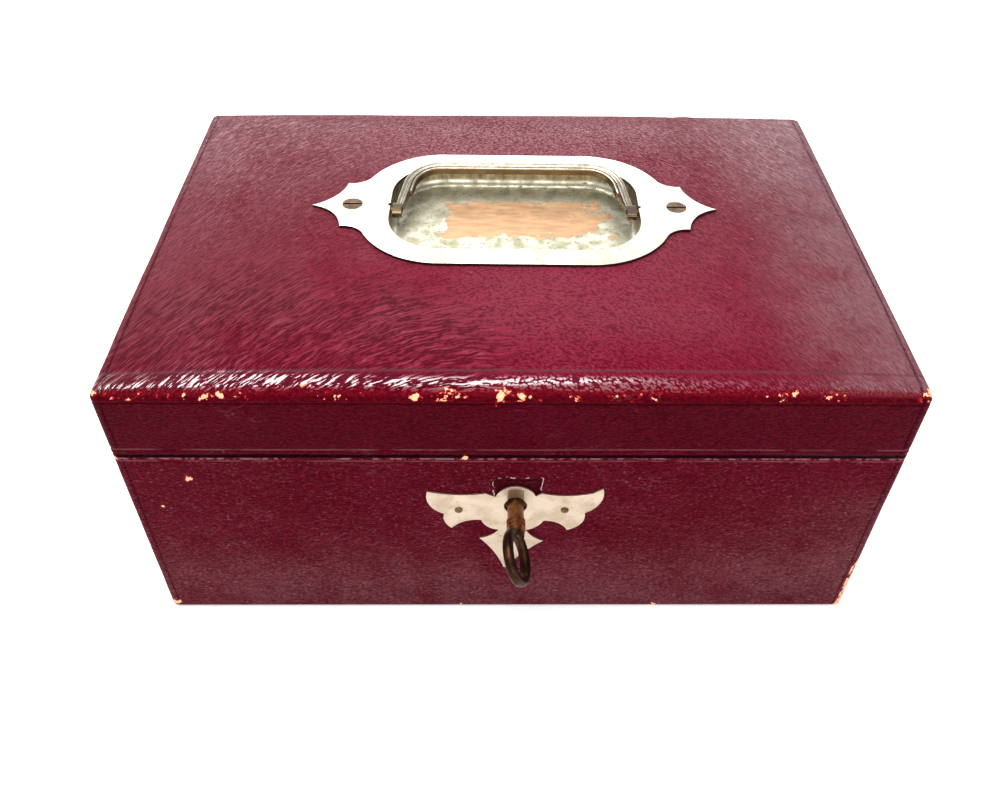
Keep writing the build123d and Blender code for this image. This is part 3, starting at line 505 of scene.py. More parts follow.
def shine(f, grain, rubbed):
    """The roughness of the leather and the weight of its wax coat."""
    shiny = f.front_roll * f.flat * (0.55 + f.left * 0.45)
    rough = 0.50 + (0.5 - grain) * 0.16 + f.bloom * 0.2 + rubbed * 0.25 - shiny * 0.28
    rough = rough + (f.cloud(17.0, 3.0) - 0.5) * 0.14
    lit = 1 - abs(f.x - 5).rise(20, 75)
    gleam = (grain + lit * 0.13).rise(0.40, 0.70) * (1 - f.x.rise(35, 90) * 0.6)
    gleam = gleam * f.front_roll * f.up.rise(0.62, 0.86) * f.z.rise(100, 110)
    sheen = (f.rear * 0.22 + f.edges * 0.06 + 0.05) * f.flat * (0.35 + grain.rise(0.3, 0.9) * 1.2)
    return rough, (sheen + gleam - rubbed * 0.5).rise(0.0, 1.0)


def morocco():
    f = Finish("morocco_leather", Specular_IOR_Level=0.02, Specular_Tint=shade(255, 176, 190),
               Coat_Roughness=0.17, Coat_IOR=2.2)
    lay_out(f)
    grain = top_grain(f) * f.flat + wall_grain(f) * f.wall
    dye_and_painted_light(f, grain)
    wall_scuffs_and_light(f, grain)
    tool_lines_and_seam_light(f)
    scar(f)
    rubbed = rubbed_away(f)
    rough, coat = shine(f, grain, rubbed)
    worn = f.bump(1 - rubbed, 0.16)
    normal = f.bump(grain + f.cloud(0.35, 2.0) * 0.10, 0.26, worn)
    return f.wear(Roughness=rough, Coat_Weight=coat, Normal=normal)


print("leather finish has", len(morocco().node_tree.nodes), "nodes")

# %% [markdown]
# ## Metals
# The handle plate and escutcheon were silvered nickel, cut by hand, and are almost white with
# soft scratches. The pan was never polished again: its floor is blotched, with the copper
# showing through in the middle. Every metal starts from one recipe and adds its own wear.

# %% Metal finishes
silver_white = shade(244, 240, 230)
silver_dull = shade(206, 196, 176)
silver_brown = shade(140, 112, 84)
nickel = shade(216, 212, 192)
nickel_dull = shade(164, 160, 134)
nickel_dark = shade(122, 118, 98)
# Brown tarnish, also painted as shade over the pan's sides.
tarnish_and_shade = shade(112, 92, 64)
copper_bare = shade(206, 166, 128)
copper_dull = shade(184, 147, 114)
copper_bright = shade(168, 116, 76)
copper_brown = shade(128, 84, 48)
bronze = shade(62, 40, 26)
bronze_dark = shade(32, 20, 14)
brass = shade(202, 160, 88)
brass_clean = shade(208, 168, 96)
brass_dark = shade(110, 78, 36)
steel = shade(150, 148, 144)
steel_dull = shade(120, 116, 112)
steel_rust = shade(92, 62, 44)


def metal(name, bright, dull, grime, rough, blotch, dirt=0.5):
    """An aged metal: two tones of the metal, dirt that gathers in blotches, and fine scratches."""
    f = Finish(name, Metallic=1.0)
    tones = f.cloud(blotch, 4.0).rise(0.36, 0.66)
    scratches = f.cloud(1.0, 3.0, f.vector(f.x / 14, (f.y + f.z) / 0.35, f.z / 6))
    spots = f.cloud(blotch / 4, 5.0).rise(0.60, 0.72) * dirt
    f.colour = f.mix(tones, bright, dull)
    f.tint(spots, grime)
    f.rough = rough + tones * 0.10 + spots * 0.25 + (scratches - 0.5) * 0.12
    f.height = scratches * 0.4 + f.cloud(2.4, 3.0) * 0.6 - spots * 0.4
    return f


def done(f, relief=0.05):
    """Connects what a metal's recipe and its own wear have worked out."""
    return f.wear(Roughness=f.rough, Normal=f.bump(f.height, relief))


def silvered_finish():
    """Almost white on top, and dark on its sides: a painted shadow line round the plate."""
    f = metal("silvered_plate", silver_white, silver_dull, silver_brown, 0.26, blotch=16.0, dirt=0.22)
    f.tint(f.cloud(5.0, 5.0).rise(0.62, 0.7) * 0.35, silver_brown)
    # Painted shadow: faces that turn away from up, the plate's sides, are made dark.
    f.tint((1 - f.facing_up().rise(0.25, 0.85)) * 0.9, bronze_dark)
    return done(f)


def pan_finish():
    """Blotched nickel with ragged bare copper on the floor, and brown streaks down the sides over painted
    shade.
    """
    f = metal("pan_metal", nickel, nickel_dull, nickel_dark, 0.33, blotch=5.0, dirt=0.7)
    floor = 1 - f.z.rise(125.0, 127.5)
    ragged = (f.cloud(9.0, 6.0) - 0.5) * 30
    reach = abs(f.x - handle_x - 4.5) + ragged
    depth = abs(f.y - handle_y - 3.0) + ragged * 0.45
    bare = (1 - reach.rise(30, 32)) * (1 - depth.rise(12.0, 13.0)) * floor
    islands = f.cloud(3.2, 5.0).rise(0.60, 0.64) * (reach.rise(18, 30) + depth.rise(7, 12))
    bare = (bare - islands).rise(0.2, 0.6)
    brushed = f.cloud(1.0, 4.0, f.vector(f.x / 12, f.y / 2.5, 0.0)).rise(0.35, 0.65)
    f.tint(bare, f.mix(brushed, copper_bare, copper_dull))
    streaks = f.cloud(1.0, 4.0, f.vector(f.x / 2.2, f.y / 2.2, f.z / 9)).rise(0.4, 0.7)
    # The pan's sides: painted shade, brown all over, with brown streaks in it.
    f.tint((1 - floor) * (0.55 + streaks * 0.4), tarnish_and_shade)
    flecks = f.cloud(1.6, 4.0).rise(0.60, 0.68)
    f.tint(floor * (1 - bare) * flecks * 0.6, nickel_dark)
    f.rough = f.rough + bare * 0.1 + flecks * 0.12
    f.height = f.height + bare * 0.5
    return done(f, 0.06)


def bail_finish():
    """Silver on top and brown on its sides, a painted reflection that follows which way the surface faces,
    and brown at its feet.
    """
    f = metal("bail_metal", shade(170, 165, 152), shade(142, 133, 114), silver_brown, 0.15,
              blotch=3.0, dirt=0.3)
    # Painted reflection and shade: brown where the surface turns from up, silver on top.
    f.tint((1 - f.facing_up().rise(0.60, 0.94)) * 0.85, shade(104, 78, 48))
    f.tint((1 - (f.y - handle_y).rise(0, 7)) * 0.8, shade(92, 72, 48))
    return done(f, 0.03)


def key_finish():
    """The shank was handled until it is copper-bright, and the bow has gone dark."""
    f = metal("key_bronze", bronze, bronze_dark, shade(30, 18, 12), 0.38, blotch=5.0, dirt=0.3)
    shank = (f.y + (f.cloud(2.0) - 0.5) * 2).rise(-111.0, -108.5)
    handled = f.mix(f.cloud(1.8, 3.0).rise(0.35, 0.6), copper_brown, copper_bright)
    f.tint(shank * 0.85, handled)
    return done(f)


def lock_finish():
    """Brass that has gone grey where air and fingers reach it through the keyhole."""
    f = metal("lock_brass", brass, brass_dark, bronze_dark, 0.32, blotch=8.0)
    f.tint((1 - f.near(key_x, -93.0, key_z + 5.0).rise(7, 11)) * 0.9, shade(138, 130, 116))
    return done(f)


silvered_finish()
pan_finish()
bail_finish()
key_finish()
lock_finish()
done(metal("screw_metal", shade(112, 92, 72), shade(80, 62, 46), bronze_dark, 0.38, blotch=2.0))
done(metal("escutcheon_metal", shade(194, 178, 158), shade(178, 160, 138), shade(128, 102, 78), 0.38,
           blotch=7.0, dirt=0.2))
done(metal("lock_steel", steel, steel_dull, steel_rust, 0.36, blotch=5.0))
done(metal("hinge_brass", brass_clean, brass_dark, bronze_dark, 0.30, blotch=7.0))
print("finishes so far:", ", ".join(finishes))

# %% [markdown]
# ## Wood, paper and cloth finishes
# Inside, the boards are pine, planed by hand. The underside is covered with marbled-brown
# paper. The linings are silk velvet, faded from royal blue, and the lid is lined with satin.

# %% Wood, paper and cloth


def waves(wire):
    """Even ridges from 0 to 1, one for each turn of the wire."""
    return wire.math("SINE", wire) * 0.5 + 0.5


def wood_finish():
    f = Finish("carcass_wood")
    rings = waves(f.cloud(1.0, 3.0, f.vector(f.x / 90, f.y / 7, f.z / 7)) * 60)
    pores = f.cloud(1.0, 2.0, f.vector(f.x / 8, f.y / 0.5, f.z / 0.5)).rise(0.55, 0.7)
    f.colour = f.mix(rings * 0.6, shade(190, 140, 92), shade(150, 100, 60))
    f.tint(pores * 0.5, shade(96, 60, 34))
    return f.wear(Roughness=0.62 - rings * 0.08, Normal=f.bump(rings - pores, 0.08))


def paper_finish():
    f = Finish("underside_leather", Specular_IOR_Level=0.3)
    grain = f.cells(1.4) * 0.6 + f.cloud(0.8, 3.0) * 0.4
    f.colour = f.mix(f.cloud(30.0, 4.0).rise(0.3, 0.7), shade(66, 18, 24), shade(92, 34, 36))
    f.tint(f.cloud(6.0, 4.0).rise(0.6, 0.72) * 0.6, shade(132, 86, 74))
    return f.wear(Roughness=0.66 - grain * 0.12, Normal=f.bump(grain, 0.10))


def velvet_finish(name, deep, faded):
    """Cut pile: a soft sheen at grazing angles, and streaks where it was stroked the other way."""
    f = Finish(name, Sheen_Weight=0.7, Sheen_Roughness=0.35, Sheen_Tint=shade(150, 170, 220),
               Specular_IOR_Level=0.15)
    stroked = f.cloud(1.0, 4.0, f.vector(f.x / 40, f.y / 16, f.z / 16)).rise(0.30, 0.74)
    pile = f.cloud(0.45, 2.0)
    worn = f.cloud(34.0, 3.0).rise(0.45, 0.75)
    f.colour = f.mix(stroked * 0.30 + worn * 0.30, deep, faded)
    f.tint((1 - pile.rise(0.3, 0.6)) * 0.5, shade(12, 18, 52))
    return f.wear(Roughness=0.82 - stroked * 0.12, Normal=f.bump(pile, 0.22))


def satin_finish():
    """Silk satin: fine ribs of weft under long shining floats."""
    f = Finish("lid_silk", Sheen_Weight=0.15, Anisotropic=0.4, Specular_IOR_Level=0.55)
    weft = waves((f.y + (f.cloud(20.0) - 0.5) * 1.5) * 18.0)
    slub = f.cloud(1.0, 3.0, f.vector(f.x / 16, f.y / 0.5, f.z / 8))
    aged = f.cloud(30.0, 3.0).rise(0.4, 0.75)
    f.colour = f.mix(aged * 0.5, shade(46, 66, 132), shade(96, 112, 156))
    f.tint(slub.rise(0.5, 0.75) * 0.3, shade(150, 164, 196))
    rough = 0.34 + aged * 0.12 + (slub - 0.5) * 0.15
    return f.wear(Roughness=rough, Normal=f.bump(weft * 0.4 + slub * 0.6, 0.05))


def ribbon_finish():
    """Grosgrain: a ribbon with a rib every 0.7 mm."""
    f = Finish("tab_ribbon", Sheen_Weight=0.25, Specular_IOR_Level=0.35)
    ribs = waves(f.z * (math.tau / 0.7))
    yarn = f.cloud(0.3, 2.0)
    f.colour = f.mix(ribs * 0.5 + yarn * 0.3, shade(44, 62, 120), shade(92, 110, 162))
    return f.wear(Roughness=0.55 + yarn * 0.1, Normal=f.bump(ribs + yarn * 0.2, 0.12))


wood_finish()
paper_finish()
velvet_finish("lining_velvet", shade(22, 32, 88), shade(64, 80, 136))
velvet_finish("tray_velvet", shade(24, 34, 92), shade(70, 86, 140))
satin_finish()
ribbon_finish()
print("finishes in all:", len(finishes))

# %% [markdown]
# Every piece of the frame that stays takes the finish of its material slot in the record. Each
# finish was named after a slot, so one loop can dress them all. The record also says which body
# a node rides on, and the pieces built below look both up.

# %% Finishes for the frame's own pieces
record = frame["record"]
slot_of = {part["node"]: part["material_slot"] for part in record["subparts"]}
body_of = {node: body for body, nodes in record["behaviour"]["bodies"].items() for node in nodes}
for name, node in frame["nodes"].items():
    node.data.materials.clear()
    node.data.materials.append(finishes[slot_of[name]])
print("dressed", len(slot_of), "pieces of the frame")

# %% [markdown]
# ## Leather: the two covers
# Each cover is one skin, wrapped round the edges and turned in over the rims. It is built as
# rings that climb the walls, and the lid's roll over the edge and end in a grid over the crown.
# Rings lie closer together where a line was pressed with a hot iron, so the line is a groove.

# %% Rings, skins and pieces


def closer(low, high, pitch, lines, reach, step):
    """Places from low to high, a pitch apart, with closer ones about each pressed line."""
    count = max(1, round((high - low) / pitch))
    places = [low + (high - low) * i / count for i in range(count + 1)]
    for line in lines:
        places = [p for p in places if abs(p - line) > reach or p in (low, high)]
        steps = round(reach / step)
        places += [line + step * i for i in range(-steps, steps + 1) if low < line + step * i < high]
    return sorted(set(round(p, 4) for p in places))


def ring(half_x, half_y, radius, xs, ys, corner_steps=5):
    """A rounded rectangle seen from above, as points that start at the front left and go round."""
    turns = [math.pi / 2 * k / corner_steps for k in range(1, corner_steps)]
    run_x, run_y = half_x - radius, half_y - radius
    points = [(u * run_x, -half_y) for u in xs]
    points += [(run_x + radius * math.sin(a), -run_y - radius * math.cos(a)) for a in turns]
    points += [(half_x, v * run_y) for v in ys]
    points += [(run_x + radius * math.cos(a), run_y + radius * math.sin(a)) for a in turns]
    points += [(u * run_x, half_y) for u in reversed(xs)]
    points += [(-run_x - radius * math.sin(a), run_y + radius * math.cos(a)) for a in turns]
    points += [(-half_x, v * run_y) for v in reversed(ys)]
    points += [(-run_x - radius * math.cos(a), -run_y - radius * math.sin(a)) for a in turns]
    return points


def bridge(bm, rows, flip=False, closed=True):
    """Joins each row of points to the next with four-sided faces."""
    for lower, upper in zip(rows, rows[1:]):
        count = len(lower)
        for i in range(count if closed else count - 1):
            j = (i + 1) % count
            a, b = (j, i) if flip else (i, j)
            bm.faces.new((lower[a], lower[b], upper[b], upper[a]))


def skin(half_x, half_y, rings, xs, ys, top=None):
    """Joins rings, each an inset, a height and a corner radius, and closes the last with a grid when a top is
    given.
    """
    bm = bmesh.new()
    loops = []
    for inset, height, radius in rings:
        points = ring(half_x - inset, half_y - inset, radius, xs, ys)
        loops.append([bm.verts.new((x, y, height(x, y) if callable(height) else height)) for x, y in points])
    bridge(bm, loops)
    if top is not None:
        inset = rings[-1][0]
        grid = [[bm.verts.new((u * (half_x - inset), v * (half_y - inset), 0)) for v in ys] for u in xs]
        for column in grid:
            for vert in column:
                vert.co.z = top(vert.co.x, vert.co.y)
        for left, right in zip(grid, grid[1:]):
            for k in range(len(ys) - 1):
                bm.faces.new((left[k], right[k], right[k + 1], left[k + 1]))
    bmesh.ops.remove_doubles(bm, verts=bm.verts, dist=0.002)
    return bm


def as_mesh(bm, name):
    """Turns points in millimetres into a mesh in metres."""
    bmesh.ops.scale(bm, vec=(mm, mm, mm), verts=bm.verts)
    mesh = bpy.data.meshes.new(name)
    bm.to_mesh(mesh)
    bm.free()
    return mesh


def as_piece(bm, name, node, smooth=40.0):
    """A piece that stands for a node: it has the node's finish and rides on the node's body."""
    piece = add(name, as_mesh(bm, name))
    slot = slot_of[node]
    piece.data.materials.append(finishes[slot])
    for polygon in piece.data.polygons:
        polygon.use_smooth = True
    piece.data.set_sharp_from_angle(angle=math.radians(smooth))
    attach(piece, body_of[node])
    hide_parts(node)
    return piece


def settle(piece, kind, **settings):
    """Adds one modifier and makes its result the piece's own mesh."""
    modifier = piece.modifiers.new(kind.lower(), kind)
    for key, value in settings.items():
        setattr(modifier, key, value)
    graph = bpy.context.evaluated_depsgraph_get()
    made = bpy.data.meshes.new_from_object(piece.evaluated_get(graph))
    piece.modifiers.clear()
    old = piece.data
    piece.data = made
    bpy.data.meshes.remove(old)
    made.name = piece.name
    return piece


# %% Where the leather is pressed, sunken or cut
handle_turn = math.radians(-0.7)
plate_seat = plate_low.z - 0.05


def soft(value, low, high):
    """0 up to low, 1 from high on, and a soft step between them."""
    share = min(1.0, max(0.0, (value - low) / (high - low)))
    return share * share * (3 - 2 * share)


def groove(distance, depth=0.30, width=line_width):
    return depth * math.exp(-(distance / width) ** 2)


def wander(x, y, z, size, seed):
    """Smooth noise from -1 to 1 for the skin's own unevenness."""
    return noise.noise(Vector((x / size + seed, y / size - seed, z / size + 0.5 * seed)))


def wall_wear(x, y, z):
    """How far the leather lies below its true surface on the walls, in millimetres."""
    side = abs(x) > half_length - 2.0
    inset = half_depth - abs(y) if side else half_length - abs(x)
    lines = [upper_line, lower_line] if z > lid_bottom else [base_line]
    depth = max(groove(z - line) for line in lines)
    depth = max(depth, groove(inset - corner_line, 0.22))
    calm = 1 - soft(34 - math.hypot((x - key_x), (z - key_z)), 0, 8) if y < -half_depth + 1 else 1
    lumps = 0.30 * max(0.0, wander(x, y, z, 34, 3.1)) + 0.10 * max(0.0, wander(x, y, z, 9, 7.7))
    return depth + lumps * calm


def top_wear(x, y):
    """How far the leather lies below its true surface on the crown, in millimetres."""
    depth = groove(half_length - abs(x) - side_line, 0.26)
    depth = max(depth, groove(half_depth - y - side_line, 0.26))
    depth = max(depth, groove(y + half_depth - front_line - 0.5 * wander(x, 0, 0, 60, 1.3), 0.34, 0.9))
    lumps = 0.40 * max(0.0, wander(x, y, 0, 46, 5.2)) + 0.14 * max(0.0, wander(x, y, 0, 11, 2.4))
    creased = soft(x, 40, 110) * soft(y, -20, 60)
    folds = abs(wander(x + 0.7 * y, 0.25 * (y - x), 0, 14, 9.1))
    return depth + lumps + creased * 0.5 * (1 - soft(folds, 0.0, 0.35))


def from_handle(x, y):
    """A place as seen along and across the handle, which was fitted slightly askew."""
    dx, dy = x - handle_x, y - handle_y
    along = dx * math.cos(handle_turn) + dy * math.sin(handle_turn)
    across = dy * math.cos(handle_turn) - dx * math.sin(handle_turn)
    return along, across


def in_plate(x, y):
    """How far inside the handle plate's outline a place is, roughly, in millimetres."""
    dx, dy = (abs(d) for d in from_handle(x, y))
    body = min(39.0 - dy, (66.0 - dx))
    corner = 50.0 - math.hypot(max(dx - 20.0, 0), max(dy + 8.0, 0))
    tip = min(80.0 - dx, (80.3 - dx) * 0.75 + 0.6 - dy)
    return max(min(body, corner), tip)


def wear_lid(bm):
    bm.normal_update()
    normals = [v.normal.copy() for v in bm.verts]
    for v, normal in zip(bm.verts, normals):
        x, y, z = v.co
        if z < lid_bottom + 1.5:
            if y < -half_depth + 1:
                gape = 0.32 * soft(wander(x, 0, 0, 48, 6.6), -0.15, 0.35) + 0.12 * wander(x, 0, 0, 6, 2.2)
                v.co.z += max(0.0, gape) * soft(half_length - abs(x), 3, 14)
            continue
        depth = top_wear(x, y) if normal.z > 0.75 else wall_wear(x, y, z)
        v.co -= normal * depth
        seat = soft(in_plate(x, y), -1.5, 0.5)
        if seat > 0 and v.co.z > plate_seat:
            v.co.z += (plate_seat - v.co.z) * seat


def wear_base(bm):
    bm.normal_update()
    normals = [v.normal.copy() for v in bm.verts]
    for v, normal in zip(bm.verts, normals):
        x, y, z = v.co
        if z > rim_height - 1.0 or z < 2.0:
            continue
        depth = wall_wear(x, y, z)
        if y < -half_depth + 1 and scar_left < x < scar_right and key_z < z < scar_top:
            edge = min(x - scar_left, scar_right - x, scar_top - z) - 0.4 * wander(x, 0, z, 1.6, 4.0)
            depth += 0.42 * soft(edge, 0.0, 0.7)
        v.co -= normal * depth


def lean_back(bm, side):
    """Slopes the back edges so that the lid can lean back: side 1 base, side -1 lid."""
    rim, calm = (rim_height, rim_height - 9) if side > 0 else (lid_bottom, lid_bottom + 9)
    for v in bm.verts:
        if v.co.y > hinge_y and side * (v.co.z - calm) > 0:
            plane = hinge_z - side * (v.co.y - hinge_y) * bevel_slope
            sloped = calm + (plane - calm) * (v.co.z - calm) / (rim - calm)
            v.co.z = side * min(side * v.co.z, side * sloped)


# %% [markdown]
# The lid's cover is opened for the pan: faces inside the opening are taken out and the cut
# edge is moved onto the outline, where the handle plate hides it. Hinges and lock need rooms
# in the rims, and these are cut with the Boolean modifier once the skin has its thickness.

# %% The lid's cover
opening_half_x, opening_half_y, opening_radius = 51.0, 31.4, 22.5
bar_sides = 32
roll_steps = 12


def opening_side(x, y):
    """How far outside the opening in the leather a place is, in millimetres."""
    along, across = from_handle(x, y)
    dx = abs(along) - (opening_half_x - opening_radius)
    dy = abs(across) - (opening_half_y - opening_radius)
    return math.hypot(max(dx, 0), max(dy, 0)) + min(max(dx, dy), 0) - opening_radius


def cut_opening(bm):
    middles = [(f, f.calc_center_median()) for f in bm.faces]
    gone = [f for f, c in middles if c.z > eave_height and opening_side(c.x, c.y) < 0]
    bmesh.ops.delete(bm, geom=gone, context="FACES")
    for v in bm.verts:
        if v.is_boundary and v.co.z > eave_height:
            for _ in range(3):
                away = opening_side(v.co.x, v.co.y)
                slope_x = opening_side(v.co.x + 0.01, v.co.y) - away
                slope_y = opening_side(v.co.x, v.co.y + 0.01) - away
                steep = math.hypot(slope_x, slope_y) or 1.0
                v.co.x -= away * slope_x / steep
                v.co.y -= away * slope_y / steep


def box_shape(low, high):
    bm = bmesh.new()
    for v in bmesh.ops.create_cube(bm, size=1.0)["verts"]:
        v.co = Vector(low[i] + (high[i] - low[i]) * (v.co[i] + 0.5) for i in range(3))
    return bm


def bar_shape(axis, radius, low, high, a, b):
    """A round bar along X or Y from low to high, with a and b as its place on the other axes."""
    bm = bmesh.new()
    turns = [math.tau * t / bar_sides for t in range(bar_sides)]
    points = [(a + radius * math.cos(t), b + radius * math.sin(t)) for t in turns]
    ends = [[bm.verts.new((e, p, q) if axis == "X" else (p, e, q)) for p, q in points] for e in (low, high)]
    bm.faces.new(ends[0])
    bm.faces.new(list(reversed(ends[1])))
    bridge(bm, ends, flip=True)
    return bm


def take_away(piece, boxes, bars):
    """Cuts rooms out of a cover, one after another."""
    for bm in [box_shape(*b) for b in boxes] + [bar_shape(*b) for b in bars]:
        bmesh.ops.recalc_face_normals(bm, faces=bm.faces)
        tool = add("cutter", as_mesh(bm, "cutter"))
        settle(piece, "BOOLEAN", operation="DIFFERENCE", object=tool, solver="MANIFOLD")
        bpy.data.objects.remove(tool)
    return piece


def roomy(node, gap, stretch_z):
    """The box of a node grown by a gap, and past the rim by a stretch."""
    low, high = box(node)
    low, high = low - Vector((gap, gap, gap)), high + Vector((gap, gap, gap))
    if stretch_z > 0:
        high.z += stretch_z
    else:
        low.z += stretch_z
    return low, high


def wall_rings(low, high, lines):
    """Heights of the rings up a wall, closer about the pressed lines."""
    return closer(low, high, 3.5, lines, reach=1.0, step=0.25)


def along_side(half, pitch, lines=(), reach=0.75, step=0.25):
    """Places between the corners of a side, closer about its corner lines and other lines."""
    ends = (-half + corner_line, half - corner_line)
    return closer(-half + corner_radius, half - corner_radius, pitch, ends + lines, reach, step)


def as_shares(places, half):
    """The same places as shares of the straight run between two corners, from -1 to 1."""
    return [p / (half - corner_radius) for p in places]


hinge_rooms = [
    ("X", barrel_radius, x - barrel_reach, x + barrel_reach, hinge_y, hinge_z) for x in (-hinge_x, hinge_x)]


def make_lid_cover():
    wall_top = eave_height - edge_roll
    xs = as_shares(along_side(half_length, 3.2), half_length)
    ys = as_shares(along_side(half_depth, 3.0, (-half_depth + front_line + 1.2,), 1.2, 0.3), half_depth)
    turned = half_length - room_x
    rings = [(turned - i * (turned - 0.6) / 4, lid_bottom, corner_radius * 0.4) for i in range(5)]
    rings += [(0.18, lid_bottom + 0.18, corner_radius - 0.2), (0.0, lid_bottom + 0.6, corner_radius)]
    walls = wall_rings(lid_bottom + 1.4, wall_top, (upper_line - 0.3, lower_line))
    rings += [(0.0, height, corner_radius) for height in walls]
    for k in range(1, roll_steps + 1):
        angle = math.pi / 2 * k / roll_steps
        inset = edge_roll * (1 - math.cos(angle))
        drop = edge_roll * (1 - math.sin(angle))
        rings.append((inset, lambda x, y, d=drop: crown(x, y) - d, corner_radius * (1 - inset / 6)))
    for inset in (4.75, 5.0, 5.3, 5.65, 6.0):
        rings.append((inset, crown, corner_radius * (1 - inset / 6)))
    bm = skin(half_length, half_depth, rings, xs, ys, crown)
    wear_lid(bm)
    lean_back(bm, -1)
    cut_opening(bm)
    piece = as_piece(bm, "lid_leather_skin", "lid_leather", 50)
    settle(piece, "SOLIDIFY", thickness=leather * mm, offset=-1.0)
    rooms = [roomy(f"lid_hinge_leaf_{s}", 0.02, -2.0) for s in ("left", "right")]
    rooms.append(roomy("link_plate", 0.05, -1.0))
    return take_away(piece, rooms, hinge_rooms)


lid_skin = make_lid_cover()
print("lid cover has", len(lid_skin.data.polygons), "faces")

# %% The base's cover
scar_pitch = 0.45
keyhole_radius, keyhole_slot, keyhole_bit, keyhole_reach = 4.25, 1.6, 2.85, 9.2


def denser(places, stretch):
    """Swaps the places that a stretch covers for the stretch's own, which lie closer."""
    return sorted([p for p in places if not stretch[0] - 0.3 < p < stretch[-1] + 0.3] + stretch)


def make_base_cover():
    scar_places = [scar_left + scar_pitch * i for i in range(-4, 44)]
    xs = as_shares(denser(along_side(half_length, 3.2), scar_places), half_length)
    ys = as_shares(along_side(half_depth, 3.2), half_depth)
    foot = base_low.z
    rings = [(12.9, foot, 0.3), (9.0, foot, 0.6), (5.0, foot, 1.0), (2.0, foot, 2.0), (0.75, foot, 2.4)]
    rings += [(0.22, foot + 0.22, 2.8), (0.0, foot + 0.75, corner_radius)]
    scar_heights = [key_z + 8.0 + scar_pitch * i for i in range(18)]
    walls = denser(wall_rings(foot + 1.6, rim_height - 1.4, (base_line,)), scar_heights)
    rings += [(0.0, height, corner_radius) for height in walls]
    rings += [(0.0, rim_height - 0.6, corner_radius), (0.18, rim_height - 0.18, corner_radius - 0.2)]
    turned = half_length - room_x
    rings += [(0.6 + i * (turned - 0.6) / 4, rim_height, corner_radius * 0.4) for i in range(5)]
    bm = skin(half_length, half_depth, rings, xs, ys)
    wear_base(bm)
    lean_back(bm, 1)
    piece = as_piece(bm, "base_leather_skin", "base_leather", 50)
    settle(piece, "SOLIDIFY", thickness=leather * mm, offset=-1.0)
    rooms = [roomy(f"base_hinge_leaf_{s}", 0.02, 2.0) for s in ("left", "right")]
    selvage_low, selvage_high = roomy("lock_plate", 0.1, 2.0)
    selvage_low.z = rim_height - 1.6
    rooms.append((selvage_low, selvage_high))
    outside, inside = -half_depth - 2, -half_depth + 3
    for half, low, high in ((keyhole_slot, key_z - keyhole_reach, key_z),
                            (keyhole_bit, key_z, key_z + keyhole_reach)):
        rooms.append((Vector((key_x - half, outside, low)), Vector((key_x + half, inside, high))))
    keyhole = ("Y", keyhole_radius, outside, inside, key_x, key_z)
    return take_away(piece, rooms, hinge_rooms + [keyhole])


base_skin = make_base_cover()
print("base cover has", len(base_skin.data.polygons), "faces")

# %% [markdown]
# ## Softened edges
# Nothing made by hand has a knife edge. So the plates, the bail and the cloth-covered cards are
# copied from the frame, and a copy's sharp edges are rounded. It stands for its own node.
# The tips of the handle plate were bent down a little, so that they lie on the falling crown.

# %% Softened copies


def softened(node, width, bend=None):
    """A copy of a piece of the frame whose sharp edges are rounded by this many millimetres."""
    source = frame["nodes"][node]
    bm = bmesh.new()
    bm.from_mesh(source.data)
    bm.transform(source.matrix_world)
    bmesh.ops.remove_doubles(bm, verts=bm.verts, dist=0.002 * mm)
    bmesh.ops.dissolve_limit(bm, angle_limit=0.005, verts=bm.verts, edges=bm.edges)
    bmesh.ops.scale(bm, vec=(1 / mm, 1 / mm, 1 / mm), verts=bm.verts)
    piece = as_piece(bm, node + "_soft", node)
    settle(piece, "BEVEL", width=width * mm, segments=3, limit_method="ANGLE", angle_limit=0.6)
    if bend:
        for vert in piece.data.vertices:
            vert.co.z += bend(vert.co.x / mm) * mm
    return piece


def tip_droop(x):
    """How far the handle plate is bent down at its tips."""
    return -0.7 * soft(abs(x - handle_x), 68.5, 81.0)


softened("handle_plate", 0.30, tip_droop)
softened("escutcheon", 0.22)
softened("bail", 0.6)
for side in ("front", "back", "left", "right"):
    softened(f"base_lining_{side}", 0.6)
    softened(f"lid_lining_{side}", 0.5)
softened("tray_dividers", 1.1)
softened("tray_bearer_left", 0.8)
softened("tray_bearer_right", 0.8)

# %% [markdown]
# The tray's four rails are covered with one strip of velvet, which turns each corner softly.
# The strip's outline, a tall rounded bar, is carried round the tray as rings, like the covers.

# %% The tray's rim


def make_tray_rim():
    low, high = box("tray_frame")
    width = 5.0
    round_top, round_foot = 1.6, 0.6
    outline = [(0.0, low.z + round_foot), (0.0, high.z - round_top)]
    turns = [math.pi / 2 * k / 5 for k in range(1, 6)]
    curve = [(round_top * (1 - math.cos(a)), round_top * (1 - math.sin(a))) for a in turns]
    outline += [(across, high.z - down) for across, down in curve]
    outline += [(width - down, high.z - across) for across, down in curve]
    outline += [(width, low.z + round_foot), (width - round_foot, low.z), (round_foot, low.z)]
    outline.append(outline[0])
    rings = [(inset, height, max(0.5, 2.6 - inset * 0.6)) for inset, height in outline]
    xs = [i / 24 - 1 for i in range(49)]
    ys = [i / 16 - 1 for i in range(33)]
    bm = skin(high.x, high.y, rings, xs, ys)
    return as_piece(bm, "tray_rim", "tray_frame")


print("tray rim has", len(make_tray_rim().data.polygons), "faces")

# %% [markdown]
# ## Pads
# A pad is a flat back and a crowned front, sewn round the rim, with sides that pull in between
# the corners. A short cloth simulation with pressure inside then swells the front. The back and
# the buttons are held still, and no point may rise past the room that the pad has.

# %% Pads
cloth_frames = 20


